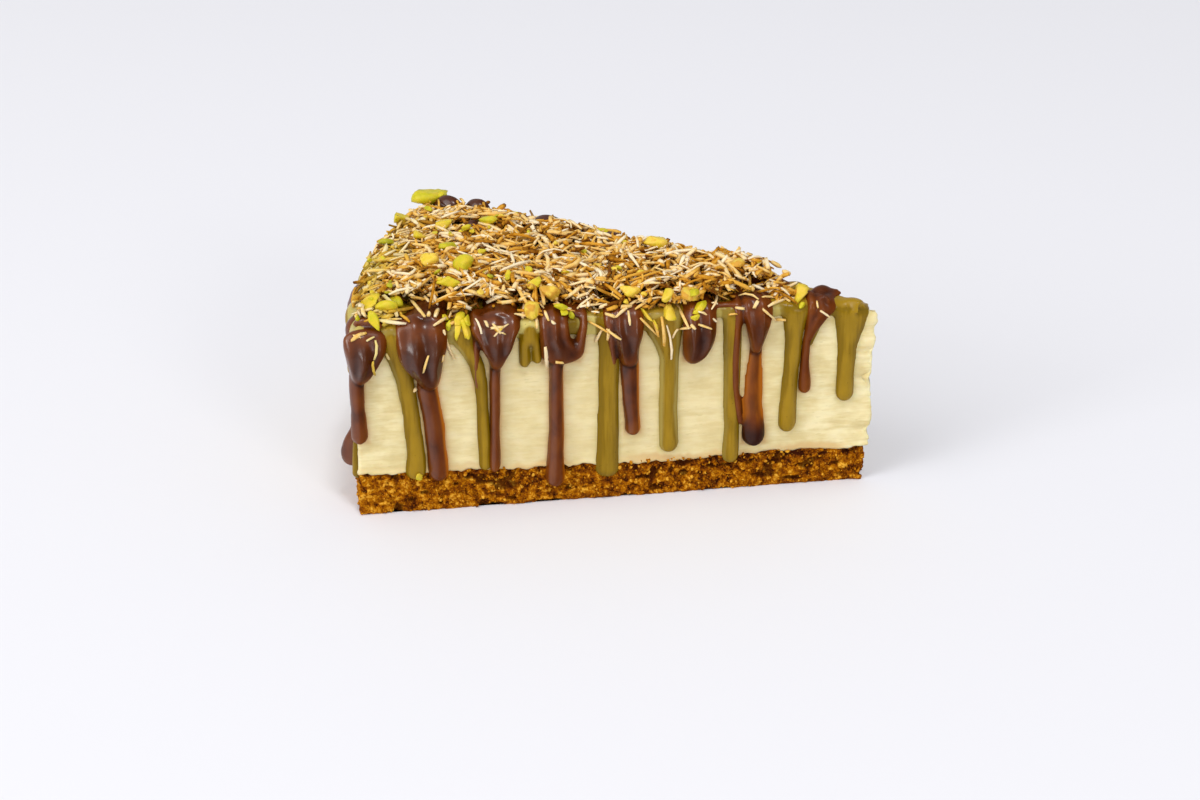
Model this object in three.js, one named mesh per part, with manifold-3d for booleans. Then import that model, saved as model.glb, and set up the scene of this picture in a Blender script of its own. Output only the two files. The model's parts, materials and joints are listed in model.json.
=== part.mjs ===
// A slice of pistachio kunafa cheesecake: biscuit crumb base, baked-cheese filling, a coat of
// pistachio sauce and a drizzle of milk chocolate that both run down the sides, and a heap of
// toasted kunafa strands with chopped pistachios on top.
// Millimetres, +Z up. The slice is drawn with the cake's centre at x = 0 and its rim towards -X,
// and is then moved so that the middle of its underside is the origin.
import * as THREE from "three";
import { ImprovedNoise } from "three/addons/math/ImprovedNoise.js";
import { mergeVertices } from "three/addons/utils/BufferGeometryUtils.js";
import Module from "manifold-3d";

const wasm = await Module();
wasm.setup();

// The whole cake
const CAKE_RADIUS = 127;
const PORTIONS = 10;
const HALF_WEDGE = Math.PI / PORTIONS;
const TIP_ROUND = 0.9;
const TIP_PARTS = 4;
const LAYER_PARTS = 19;
const CRUMB_PARTS = 40;
const HUB = -0.66 * CAKE_RADIUS;

// Heights above the floor
const BASE_AT_RIM = 11.2;
const BASE_AT_TIP = 9.5;
const CREAM_TOP = 49;
const TIP_DROOP = 2.2;
const DROOP_REACH = 22;
const COAT_THICKNESS = 1.3;
const SKIRT_DEPTH = 3.2;
const SKIRT_PROUD = 1.1;
const SKIRT_FADE = 7;
const COAT_SOFTENED = 1.4;

// Clearances: between layers, and past the relief that the cut faces carry
const GAP = 0.3;

// Relief of the crumb and of the knife-dragged filling, each as depth and feature size
const CRUMB_RELIEF = { depth: 0.75, across: 2.3, high: 2.3 };
const CREAM_RELIEF = { depth: 0.45, across: 14, high: 3.2 };

// Sauce that has run over an edge
const EDGE_RADIUS = 1.9;
const HEAD_INSET = 5;
const RIM_INSET = 13;
const NECK_BLEND = 7;
const BULB_REACH = 5;
const BULB_SWELL = 1.16;
const UNDERSIDE = 1.5;
const HEAD_THICKNESS = 2.2;
const RUN_THICKNESS = 1.9;
const BAND_WIDTH = 6;
const BAND_THICKNESS = 1.1;

// Heap of strands and nuts on the coat
const HEAP_INSET = 2.2;
const HEAP_NEAR_TIP = 20;
const HEAP_RAGGED = 1.6;
const HEAP_CELLS = { along: 18, across: 8 };
const HEAP_CORE = 1.6;
const HEAP_BUMP = 1.6;
const STRANDS = 98;
const STRAND = { shortest: 5, longest: 10, wide: 1.0, high: 0.9 };
const NUTS = 20;
const NUT = { smallest: 1.3, largest: 2.5 };

// Each run of sauce on the front cut face, from the rim to the tip, as it hangs: where its head
// and its end are, measured from the cake's centre along the face, the widths of both, the
// height at which the head has narrowed to the run, and the height of its lowest point.
const CHOCOLATE_FRONT = [
  { head: 123.2, end: 125.6, headWidth: 10, runWidth: 4.4, neck: 34, foot: 19.5 },
  { head: 110.5, end: 107.5, headWidth: 13, runWidth: 5.4, neck: 34, foot: 8.5 },
  { head: 92.6, end: 93.7, headWidth: 11.4, runWidth: 3.8, neck: 37, foot: 10 },
  { head: 76.4, end: 78.4, headWidth: 10.9, runWidth: 4.2, neck: 37, foot: 5 },
  { head: 61, end: 59.4, headWidth: 8.4, runWidth: 4.6, neck: 38.5, foot: 17.7 },
  { head: 43.5, end: 44.4, headWidth: 8.1, runWidth: 6, neck: 40, foot: 36.5 },
  { head: 33.6, end: 31.8, headWidth: 2.6, runWidth: 2.2, neck: 45, foot: 20, lift: 1.7 },
  { head: 28.5, end: 28.8, headWidth: 7.5, runWidth: 5.2, neck: 38.5, foot: 12.3 },
  { head: 12.4, end: 16.1, headWidth: 6, runWidth: 2.6, neck: 42, foot: 25.7 },
];
const PISTACHIO_FRONT = [
  { head: 117.4, end: 112.9, headWidth: 5.6, runWidth: 5.1, neck: 42, foot: 9.2 },
  { head: 99, end: 96, headWidth: 5.4, runWidth: 4, neck: 40, foot: 10.4 },
  { head: 84.4, end: 84.4, headWidth: 6, runWidth: 5.4, neck: 43, foot: 38.8 },
  { head: 65.3, end: 65.5, headWidth: 5.6, runWidth: 5.9, neck: 42, foot: 6 },
  { head: 51.6, end: 50.2, headWidth: 9.3, runWidth: 4.9, neck: 40, foot: 12 },
  { head: 34.8, end: 34.5, headWidth: 5.2, runWidth: 4.3, neck: 42, foot: 8 },
  { head: 19.1, end: 19.8, headWidth: 6.6, runWidth: 4.8, neck: 40, foot: 15.5 },
  { head: 5.9, end: 6.1, headWidth: 9.6, runWidth: 5, neck: 39, foot: 22.8 },
];

// The same on the rim, measured along its arc from the middle, towards the back as positive
const RIM_HEAD_WIDTH = 7;
const CHOCOLATE_RIM = [
  { head: -32, end: -33.2, headWidth: 7, runWidth: 4.4, neck: 36, foot: 9.5 },
  { head: -12.5, end: -13.2, headWidth: 9, runWidth: 4.6, neck: 38, foot: 21 },
  { head: 6, end: 5.2, headWidth: 10, runWidth: 5.2, neck: 36, foot: 9.5 },
  { head: 24, end: 24.6, headWidth: 8.5, runWidth: 4.4, neck: 39, foot: 30 },
];
const PISTACHIO_RIM = [
  { head: -37, end: -37.3, headWidth: 4, runWidth: 3, neck: 40, foot: 9.3 },
  { head: -21.5, end: -22, headWidth: 7.5, runWidth: 5, neck: 41, foot: 28 },
  { head: -3.6, end: -3, headWidth: 6.4, runWidth: 4.8, neck: 42, foot: 33 },
  { head: 15, end: 15.8, headWidth: 7, runWidth: 5.2, neck: 40, foot: 16 },
  { head: 33.5, end: 33, headWidth: 6.6, runWidth: 4.8, neck: 41, foot: 11.5 },
];

const noise = new ImprovedNoise();
const smooth = (x) => THREE.MathUtils.smoothstep(x, 0, 1);
const mix = THREE.MathUtils.lerp;

// Evenly spread numbers from 0 to 1: the i-th of a sequence, with a different one for each kind
const spread = (i, kind) => (0.5 + i * [0.754878, 0.569840, 0.618034, 0.414214][kind]) % 1;

// Heights of the base, of the filling and of the coat at a distance from the tip
const baseTop = (s) => mix(BASE_AT_TIP, BASE_AT_RIM, s / CAKE_RADIUS);
const droop = (s) => TIP_DROOP * Math.max(0, 1 - s / DROOP_REACH);
const coatTop = (s) => CREAM_TOP + GAP + COAT_THICKNESS - droop(s);

// Cuts the top of a layer down to the droop of the tip
function drooped(solid, top) {
  const slope = TIP_DROOP / (DROOP_REACH * Math.cos(HALF_WEDGE));
  const normal = new THREE.Vector3(-slope, 0, -1);
  return solid.trimByPlane(normal.toArray(), (TIP_DROOP - top) / normal.length());
}

// The outline of a slice seen from above, grown outwards all round, with so many parts to a side
function sliceOutline(grow, parts) {
  const round = TIP_ROUND + Math.max(grow, 0);
  const middle = -(round - grow) / Math.sin(HALF_WEDGE);
  const radius = CAKE_RADIUS + grow;
  const corner = HALF_WEDGE + grow / radius;
  const outline = new THREE.Path();
  outline.absarc(0, 0, radius, Math.PI - corner, Math.PI + corner, false);
  const turn = Math.PI / 2 - HALF_WEDGE;
  outline.absarc(middle, 0, round, -turn, turn, false);
  outline.closePath();
  const counts = [Math.round(parts * 2 * HALF_WEDGE), parts, TIP_PARTS, parts];
  return outline.curves.flatMap((curve, i) => curve.getSpacedPoints(counts[i]).slice(0, -1));
}

// A slice-shaped layer between two heights. Either may be a function of the distance from the tip,
// and taper gives how far the outline is drawn in at a share of the layer's height.
function sliceLayer({ grow, parts, steps, low, high, taper = () => 0 }) {
  const shape = new THREE.Shape(sliceOutline(grow, parts));
  const solid = new THREE.ExtrudeGeometry(shape, { depth: 1, steps, bevelEnabled: false });
  const at = solid.attributes.position;
  for (let i = 0; i < at.count; i++) {
    const [x, y, share] = [at.getX(i), at.getY(i), at.getZ(i)];
    const kept = 1 - taper(share) / Math.hypot(x - HUB, y);
    at.setXYZ(i, HUB + (x - HUB) * kept, y * kept, mix(low(-x), high(-x), share));
  }
  return solid;
}

// Pulls the sides of a layer in and out by smooth noise, and leaves its top and bottom in place
function roughen(solid, { depth, across, high }) {
  const at = solid.attributes.position;
  for (let i = 0; i < at.count; i++) {
    const [x, y, z] = [at.getX(i), at.getY(i), at.getZ(i)];
    const push = (seed) => depth * noise.noise(x / across + seed, y / across + seed, z / high + seed);
    at.setXY(i, x + push(11.3), y + push(47.9));
  }
  return solid;
}

function manifoldOf(geometry) {
  const bare = new THREE.BufferGeometry();
  bare.setAttribute("position", geometry.attributes.position);
  if (geometry.index) bare.setIndex(geometry.index);
  const merged = mergeVertices(bare, 1e-4);
  return new wasm.Manifold(
    new wasm.Mesh({
      numProp: 3,
      vertProperties: merged.attributes.position.array,
      triVerts: new Uint32Array(merged.index.array),
    }),
  );
}

// The largest body of a solid, so that a scrap cut loose by a neighbour is dropped
function largestBody(solid) {
  return solid.decompose().sort((a, b) => b.volume() - a.volume())[0];
}

function geometryOf(solid) {
  const { vertProperties, triVerts } = largestBody(solid).getMesh();
  const geometry = new THREE.BufferGeometry();
  geometry.setAttribute("position", new THREE.BufferAttribute(vertProperties, 3));
  geometry.setIndex(new THREE.BufferAttribute(triVerts, 1));
  geometry.computeVertexNormals();
  return geometry;
}

// The three upright faces. Each gives, for a distance along it, the point on its foot line, the
// direction out of the slice and the direction in which the distance grows.
const FACES = {
  front: (s) => ({
    foot: new THREE.Vector3(-Math.cos(HALF_WEDGE) * s, -Math.sin(HALF_WEDGE) * s, 0),
    out: new THREE.Vector3(Math.sin(HALF_WEDGE), -Math.cos(HALF_WEDGE), 0),
    along: new THREE.Vector3(-Math.cos(HALF_WEDGE), -Math.sin(HALF_WEDGE), 0),
  }),
  back: (s) => ({
    foot: new THREE.Vector3(-Math.cos(HALF_WEDGE) * s, Math.sin(HALF_WEDGE) * s, 0),
    out: new THREE.Vector3(Math.sin(HALF_WEDGE), Math.cos(HALF_WEDGE), 0),
    along: new THREE.Vector3(-Math.cos(HALF_WEDGE), Math.sin(HALF_WEDGE), 0),
  }),
  rim: (a) => {
    const turn = a / CAKE_RADIUS;
    return {
      foot: new THREE.Vector3(-Math.cos(turn), Math.sin(turn), 0).multiplyScalar(CAKE_RADIUS),
      out: new THREE.Vector3(-Math.cos(turn), Math.sin(turn), 0),
      along: new THREE.Vector3(Math.sin(turn), Math.cos(turn), 0),
    };
  },
};

// Sauce laid along a way: a capsule whose half width and thickness change, and which reaches a
// little under the way, to be cut to the food that it lies on.
// stations are the distances along the way that carry a ring of the capsule, its ends being round
// beyond the first and the last. way(d) gives the point at a distance, the direction out of the
// food and the direction across the way.
function pour({ way, stations, halfWidth, thickness, sides, ends }) {
  const rings = stations.length - 1;
  const capsule = new THREE.CapsuleGeometry(1, 2, ends, sides, rings);
  const at = capsule.attributes.position;
  for (let i = 0; i < at.count; i++) {
    const y = at.getY(i);
    const beyond = Math.sign(y) * Math.max(Math.abs(y) - 1, 0);
    const ring = Math.round((THREE.MathUtils.clamp(y, -1, 1) + 1) * rings / 2);
    const d = stations[ring] + beyond * halfWidth(stations[ring]);
    const { point, out, across } = way(d);
    point.addScaledVector(across, at.getX(i) * halfWidth(d));
    point.addScaledVector(out, at.getZ(i) * (at.getZ(i) > 0 ? thickness(d) : UNDERSIDE));
    at.setXYZ(i, point.x, point.y, point.z);
  }
  const solid = manifoldOf(capsule);
  return solid.volume() > 0 ? solid : manifoldOf(turnedInsideOut(capsule));
}

function turnedInsideOut(geometry) {
  const index = geometry.index.array;
  for (let i = 0; i < index.length; i += 3) [index[i], index[i + 1]] = [index[i + 1], index[i]];
  return geometry;
}

// One run of sauce: it starts on top of the slice, turns over the edge and hangs down the face.
// proud is how far the top of the face stands out there already, and grow makes the run larger
// all round, for cutting its neighbour clear of it.
function run(face, level, drip, { detail, proud = 0, grow = 0 }) {
  const inset = face === "rim" ? RIM_INSET : HEAD_INSET;
  const top = level(face === "rim" ? CAKE_RADIUS : drip.head);
  const bend = (Math.PI / 2) * EDGE_RADIUS;
  const hung = inset + bend;
  const end = hung + top - EDGE_RADIUS - drip.foot - drip.runWidth / 2;
  const height = (d) => Math.min(top, top - EDGE_RADIUS - (d - hung));
  const way = (d) => {
    const turn = THREE.MathUtils.clamp((d - inset) / EDGE_RADIUS, 0, Math.PI / 2);
    const fallen = Math.max(d - hung, 0);
    const lean = smooth(fallen / (end - hung));
    const { foot, out, along } = FACES[face](mix(drip.head, drip.end, lean));
    const lift = (drip.lift ?? 0) + proud * (1 - smooth((fallen - SKIRT_DEPTH) / SKIRT_FADE));
    const reach = Math.min(d - inset, 0) + EDGE_RADIUS * (Math.sin(turn) - 1) + GAP + lift;
    const point = foot.clone().addScaledVector(out, reach);
    point.z = top + EDGE_RADIUS * (Math.cos(turn) - 1) - fallen;
    const outward = out.clone().multiplyScalar(Math.sin(turn));
    outward.z = Math.cos(turn);
    return { point, out: outward, across: along };
  };
  const swell = (d) => mix(1, BULB_SWELL, smooth(1 - Math.abs(d - end) / BULB_REACH));
  const narrowed = (d) => smooth((drip.neck + NECK_BLEND - height(d)) / NECK_BLEND);
  const halfWidth = (d) => grow + (mix(drip.headWidth, drip.runWidth, narrowed(d)) / 2) * swell(d);
  const thickness = (d) => {
    const hanging = mix(HEAD_THICKNESS, RUN_THICKNESS, narrowed(d)) * swell(d);
    return grow + mix(BAND_THICKNESS, hanging, smooth((d - inset) / bend));
  };
  const first = [grow, inset + 0.15 * bend, hung - 0.15 * bend];
  const spaces = Math.max(2, Math.round((end - hung) / detail.spacing));
  const falling = Array.from({ length: spaces }, (_, i) => mix(hung, end + grow, (i + 1) / spaces));
  return pour({ way, stations: [...first, ...falling], halfWidth, thickness, ...detail });
}

// A line of drizzle across the top, from one point to another
function band(from, to, level, grow = 0) {
  const length = from.distanceTo(to);
  const across = to.clone().sub(from).normalize().applyAxisAngle(new THREE.Vector3(0, 0, 1), Math.PI / 2);
  const way = (d) => {
    const point = from.clone().lerp(to, d / length);
    point.z = level(point.length());
    return { point, out: new THREE.Vector3(0, 0, 1), across };
  };
  return pour({
    way,
    stations: [0, length],
    halfWidth: () => grow + BAND_WIDTH / 2,
    thickness: () => grow + BAND_THICKNESS,
    sides: 6,
    ends: 1,
  });
}

// The back face carries the other end of each drizzle line, so its runs stand opposite the
// front's, with falls and widths of their own.
function backOf(drips, kind) {
  return drips.map((drip, i) => {
    const headShift = 3 * (spread(i, kind) - 0.5);
    return {
      head: Math.min(drip.head + headShift, CAKE_RADIUS - 6),
      end: Math.min(drip.head + headShift + 4 * (spread(i, kind + 1) - 0.5), CAKE_RADIUS - 6),
      headWidth: drip.headWidth * mix(0.75, 1.05, spread(i + 3, kind)),
      runWidth: drip.runWidth * mix(0.9, 1.15, spread(i + 5, kind)),
      neck: mix(37, 41, spread(i, kind + 1)),
      foot: mix(8, 33, spread(i + 2, kind)),
    };
  });
}

const pistachioLevel = (s) => coatTop(s) - BAND_THICKNESS;
const chocolateLevel = (s) => coatTop(s) + GAP - 0.05;
const FRONT_DETAIL = { sides: 8, ends: 2, spacing: 9 };
const HIDDEN_DETAIL = { sides: 6, ends: 1, spacing: 15 };

// What a sauce may not enter: the slice itself with its clearance
function clearOfSlice() {
  const top = CREAM_TOP + GAP;
  const block = sliceLayer({ grow: GAP + 0.05, parts: LAYER_PARTS, steps: 1, low: () => -1, high: () => top });
  return drooped(manifoldOf(block), top);
}

// The pistachio coat on the slice, with its skirt over the top of the sides and a softened edge
function coat(grow = 0) {
  const top = CREAM_TOP + GAP + COAT_THICKNESS + grow;
  const layer = sliceLayer({
    grow: SKIRT_PROUD + grow,
    parts: LAYER_PARTS,
    steps: 3,
    low: () => CREAM_TOP - SKIRT_DEPTH - grow,
    high: () => top,
    taper: (share) => (share > 0.9 ? COAT_SOFTENED : 0),
  });
  return drooped(manifoldOf(layer), top);
}

// The zigzag of chocolate on top, with the runs that hang from each of its turns
function chocolateShape(grow = 0) {
  const backs = backOf(CHOCOLATE_FRONT, 0);
  const hang = (face, detail) => (drip) => run(face, chocolateLevel, drip, { detail, proud: SKIRT_PROUD, grow });
  const turnPoint = (face, drip) => {
    const { foot, out } = FACES[face](drip.head);
    return foot.addScaledVector(out, 1 - HEAD_INSET);
  };
  const turns = CHOCOLATE_FRONT.flatMap((drip, i) => [turnPoint("front", drip), turnPoint("back", backs[i])]);
  return wasm.Manifold.union([
    ...CHOCOLATE_FRONT.map(hang("front", FRONT_DETAIL)),
    ...backs.map(hang("back", HIDDEN_DETAIL)),
    ...CHOCOLATE_RIM.map(hang("rim", HIDDEN_DETAIL)),
    ...turns.slice(1).map((to, i) => band(turns[i], to, chocolateLevel, grow)),
  ]);
}

const chocolateSolid = () => chocolateShape().subtract(clearOfSlice()).subtract(coat(GAP));

function pistachioSolid() {
  const hang = (face, detail) => (drip) => run(face, pistachioLevel, drip, { detail });
  const runs = wasm.Manifold.union([
    ...PISTACHIO_FRONT.map(hang("front", FRONT_DETAIL)),
    ...backOf(PISTACHIO_FRONT, 1).map(hang("back", HIDDEN_DETAIL)),
    ...PISTACHIO_RIM.map(hang("rim", HIDDEN_DETAIL)),
  ]);
  return coat().add(runs.subtract(chocolateShape(GAP))).subtract(clearOfSlice());
}

// The heap's floor clears the highest drizzle line
const HEAP_FLOOR = chocolateLevel(CAKE_RADIUS) + BAND_THICKNESS + GAP;

// A place on the heap for two numbers from 0 to 1: along the slice and across it
function heapPlace(u, v) {
  const r = mix(HEAP_NEAR_TIP, CAKE_RADIUS - HEAP_INSET, u);
  const half = HALF_WEDGE - Math.asin(HEAP_INSET / r);
  const turn = mix(-half, half, v);
  return new THREE.Vector3(-r * Math.cos(turn), r * Math.sin(turn), 0);
}

function heapHeight(x, y) {
  const lumps = noise.noise(x / 9, y / 9, 4.7) + 0.6 * noise.noise(x / 3.1, y / 3.1, 8.1);
  return HEAP_FLOOR + HEAP_CORE + HEAP_BUMP * Math.max(0, 0.35 + lumps);
}

function heapCore() {
  const block = new THREE.BoxGeometry(1, 1, 1, HEAP_CELLS.along, HEAP_CELLS.across, 1);
  const at = block.attributes.position;
  for (let i = 0; i < at.count; i++) {
    const [u, v] = [at.getX(i), at.getY(i)];
    const edge = Math.max(Math.abs(u), Math.abs(v)) > 0.49;
    const place = heapPlace(u + 0.5, v + 0.5);
    const top = edge ? HEAP_FLOOR + HEAP_CORE * 0.5 : heapHeight(place.x, place.y);
    if (edge) {
      const inward = HEAP_RAGGED * (1 + noise.noise(place.x / 2.3, place.y / 2.3, 2.9));
      place.addScaledVector(new THREE.Vector3(HUB - place.x, -place.y, 0).normalize(), inward);
    }
    at.setXYZ(i, place.x, place.y, at.getZ(i) > 0 ? top : HEAP_FLOOR);
  }
  const solid = manifoldOf(block);
  return solid.volume() > 0 ? solid : manifoldOf(turnedInsideOut(block));
}

function strand(i) {
  const length = mix(STRAND.shortest, STRAND.longest, spread(i, 2) ** 2);
  const place = heapPlace(Math.sqrt(mix(0.02, 0.94, spread(i, 0))), mix(0.07, 0.93, spread(i, 1)));
  const box = new THREE.BoxGeometry(length, STRAND.wide, STRAND.high);
  const turn = new THREE.Euler(0, mix(-0.2, 0.2, spread(i, 3)), Math.PI * spread(i * 7, 2), "ZYX");
  const height = heapHeight(place.x, place.y) + STRAND.high * mix(0.1, 0.6, spread(i, 3));
  box.applyMatrix4(new THREE.Matrix4().makeRotationFromEuler(turn).setPosition(place.x, place.y, height));
  return manifoldOf(box);
}

function nut(i) {
  const size = mix(NUT.smallest, NUT.largest, spread(i, 3));
  const place = heapPlace(Math.sqrt(mix(0.05, 0.95, spread(i, 1))), mix(0.05, 0.95, spread(i, 0)));
  const chip = new THREE.IcosahedronGeometry(size, 0);
  chip.scale(1.3, 0.9, 0.6);
  const turn = new THREE.Euler(0.4 * spread(i, 2), 0.4 * spread(i, 1), Math.PI * spread(i * 5, 3));
  const height = heapHeight(place.x, place.y) + 0.3 * size;
  chip.applyMatrix4(new THREE.Matrix4().makeRotationFromEuler(turn).setPosition(place.x, place.y, height));
  return manifoldOf(chip);
}

function heapSolid() {
  const strands = Array.from({ length: STRANDS }, (_, i) => strand(i));
  const nuts = Array.from({ length: NUTS }, (_, i) => nut(i));
  return wasm.Manifold.union([heapCore(), ...strands, ...nuts]).trimByPlane([0, 0, 1], HEAP_FLOOR);
}

function food(name, geometry, colour, roughness) {
  const material = new THREE.MeshStandardMaterial({ color: colour, roughness, metalness: 0 });
  const mesh = new THREE.Mesh(geometry, material);
  mesh.name = name;
  return mesh;
}

const crumbLayer = { grow: -0.3, parts: CRUMB_PARTS, steps: 4, low: () => 0, high: baseTop };
const fillingLayer = {
  grow: -0.4,
  parts: LAYER_PARTS,
  steps: 7,
  low: (s) => baseTop(s) + GAP,
  high: () => CREAM_TOP,
};
const filling = drooped(manifoldOf(roughen(sliceLayer(fillingLayer), CREAM_RELIEF)), CREAM_TOP);

const slice = new THREE.Group();
slice.add(
  food("crumb_base", roughen(sliceLayer(crumbLayer), CRUMB_RELIEF), "#9a5a12", 0.9),
  food("cheesecake_filling", geometryOf(filling), "#efdfae", 0.6),
  food("pistachio_sauce", geometryOf(pistachioSolid()), "#997a24", 0.3),
  food("chocolate_sauce", geometryOf(chocolateSolid()), "#6b3d22", 0.3),
  food("kunafa_topping", geometryOf(heapSolid()), "#d3a45c", 0.8),
);

// The middle of the underside becomes the origin
const extent = new THREE.Box3().setFromObject(slice, true);
const middle = extent.getCenter(new THREE.Vector3());
slice.position.set(-middle.x, -middle.y, -extent.min.z);

export default slice;
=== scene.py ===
"""Looks of a slice of pistachio kunafa cheesecake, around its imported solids.

Shapes are worked out in the slice's own millimetres: the corner of the tip is the origin, the
rim lies towards -X, the front cut face towards -Y and the top towards +Z. to_frame() turns them
into the frame's metres.
"""

import itertools
import json
import math

import bpy
import numpy as np
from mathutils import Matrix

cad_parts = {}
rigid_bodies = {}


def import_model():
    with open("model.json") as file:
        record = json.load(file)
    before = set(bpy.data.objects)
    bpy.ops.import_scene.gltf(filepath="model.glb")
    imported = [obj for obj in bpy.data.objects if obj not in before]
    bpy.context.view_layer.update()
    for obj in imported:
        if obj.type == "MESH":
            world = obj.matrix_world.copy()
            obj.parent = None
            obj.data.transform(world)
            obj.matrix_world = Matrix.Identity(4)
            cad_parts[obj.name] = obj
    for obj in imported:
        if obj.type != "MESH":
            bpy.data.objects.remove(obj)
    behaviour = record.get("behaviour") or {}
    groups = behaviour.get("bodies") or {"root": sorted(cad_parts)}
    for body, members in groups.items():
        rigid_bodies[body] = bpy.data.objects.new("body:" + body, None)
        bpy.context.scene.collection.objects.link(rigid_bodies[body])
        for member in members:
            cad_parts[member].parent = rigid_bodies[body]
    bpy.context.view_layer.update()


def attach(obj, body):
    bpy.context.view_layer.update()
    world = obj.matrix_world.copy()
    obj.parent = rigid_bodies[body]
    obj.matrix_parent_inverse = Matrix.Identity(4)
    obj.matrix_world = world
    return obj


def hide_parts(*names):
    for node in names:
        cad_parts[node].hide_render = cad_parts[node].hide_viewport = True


bl_info = {
    "name": "Kunafa Cheesecake Slice",
    "version": (1, 0, 0),
    "blender": (4, 5, 0),
    "location": "3D View > Sidebar > Cake Slice",
    "description": "Builds a slice of pistachio kunafa cheesecake with drips, strands and nuts",
    "category": "Add Mesh",
}

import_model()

MM = 0.001
TIP_IN_FRAME = np.array([65.515, 0.351, 0.0])
SEED = 41

# How far from the tip the top droops, and the spot on the middle line that the rings closing a
# body shrink towards, as a share of the radius from the tip
DROOP_REACH = 22.0
HUB = 0.66

# How far the camera stands left of and below the line through its target
CAMERA_LEFT = 3.9965
CAMERA_DOWN = 2.7116

# Roughly the way towards the low light on the left: chocolate that faces it is glossiest
GLOSS_WAY = np.array([-0.55, -0.7, 0.45])


def srgb(red, green, blue):
    """Linear colour of an 8-bit screen colour: ((c + 0.055) / 1.055) ** 2.4 for each channel."""
    return tuple(((c / 255 + 0.055) / 1.055) ** 2.4 for c in (red, green, blue))


# ------------------------------------------------------------------ numbers and noise


def smooth(x):
    """0 up to 0, 1 from 1, and 3x2 - 2x3 between."""
    x = np.clip(x, 0.0, 1.0)
    return x * x * (3 - 2 * x)


def mix(a, b, t):
    return a + (b - a) * t


def to_frame(points):
    """Slice millimetres to frame metres."""
    return (points + TIP_IN_FRAME) * MM


def from_frame(points):
    return points / MM - TIP_IN_FRAME


def unit(v):
    return v / np.maximum(np.linalg.norm(v, axis=-1, keepdims=True), 1e-9)


def hashed(cell, seed):
    """A repeatable number from 0 to 1 for each whole-number cell: the three coordinates and the
    seed times large odd numbers, mixed by exclusive or and shifts."""
    h = cell[..., 0] * 73856093 ^ cell[..., 1] * 19349663 ^ cell[..., 2] * 83492791
    h = (h ^ (seed * 40503 + 977)) & 0xFFFFFFFF
    for shift in (13, 16, 11):
        h = ((h ^ (h >> shift)) * 1274126177) & 0xFFFFFFFF
    return ((h ^ (h >> 15)) & 0xFFFFFF) / 0xFFFFFF


def noise(points, size, seed=0):
    """Smooth noise from -1 to 1: random values at the corners of cells of a size, or of a size
    for each axis, blended across every cell by 3t2 - 2t3."""
    q = points / np.asarray(size, float)
    cell = np.floor(q).astype(np.int64)
    t = smooth(q - cell)
    total = 0.0
    for corner in itertools.product((0, 1), repeat=3):
        weight = np.prod(np.where(corner, t, 1 - t), axis=-1)
        total = total + weight * hashed(cell + np.array(corner), seed)
    return 2 * total - 1


def cloudy(points, size, seed=0, octaves=3):
    """Noise with finer noise of half the size and half the strength added, octaves times."""
    size = np.asarray(size, float)
    return sum(noise(points, size / 2**n, seed + n) / 2**n for n in range(octaves))


def grains(points, size, seed=0):
    """Cellular noise: the distance to the nearest of one jittered centre per cell, in cells, and
    that centre's own random number."""
    q = points / size
    cell = np.floor(q).astype(np.int64)
    best = np.full(q.shape[:-1], 9.0)
    mark = np.zeros(q.shape[:-1])
    for step in itertools.product((-1, 0, 1), repeat=3):
        near = cell + np.array(step)
        centre = near + np.stack([hashed(near, seed + n) for n in range(3)], axis=-1)
        apart = ((q - centre) ** 2).sum(axis=-1)
        closer = apart < best
        best = np.where(closer, apart, best)
        mark = np.where(closer, hashed(near, seed + 3), mark)
    return np.sqrt(best), mark


def spread(i, kind):
    """The i-th of evenly spread numbers from 0 to 1: steps of an irrational share, wrapped."""
    return (0.5 + i * (0.754878, 0.569840, 0.618034, 0.414214)[kind]) % 1


# ------------------------------------------------------------------ the wedge


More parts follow.
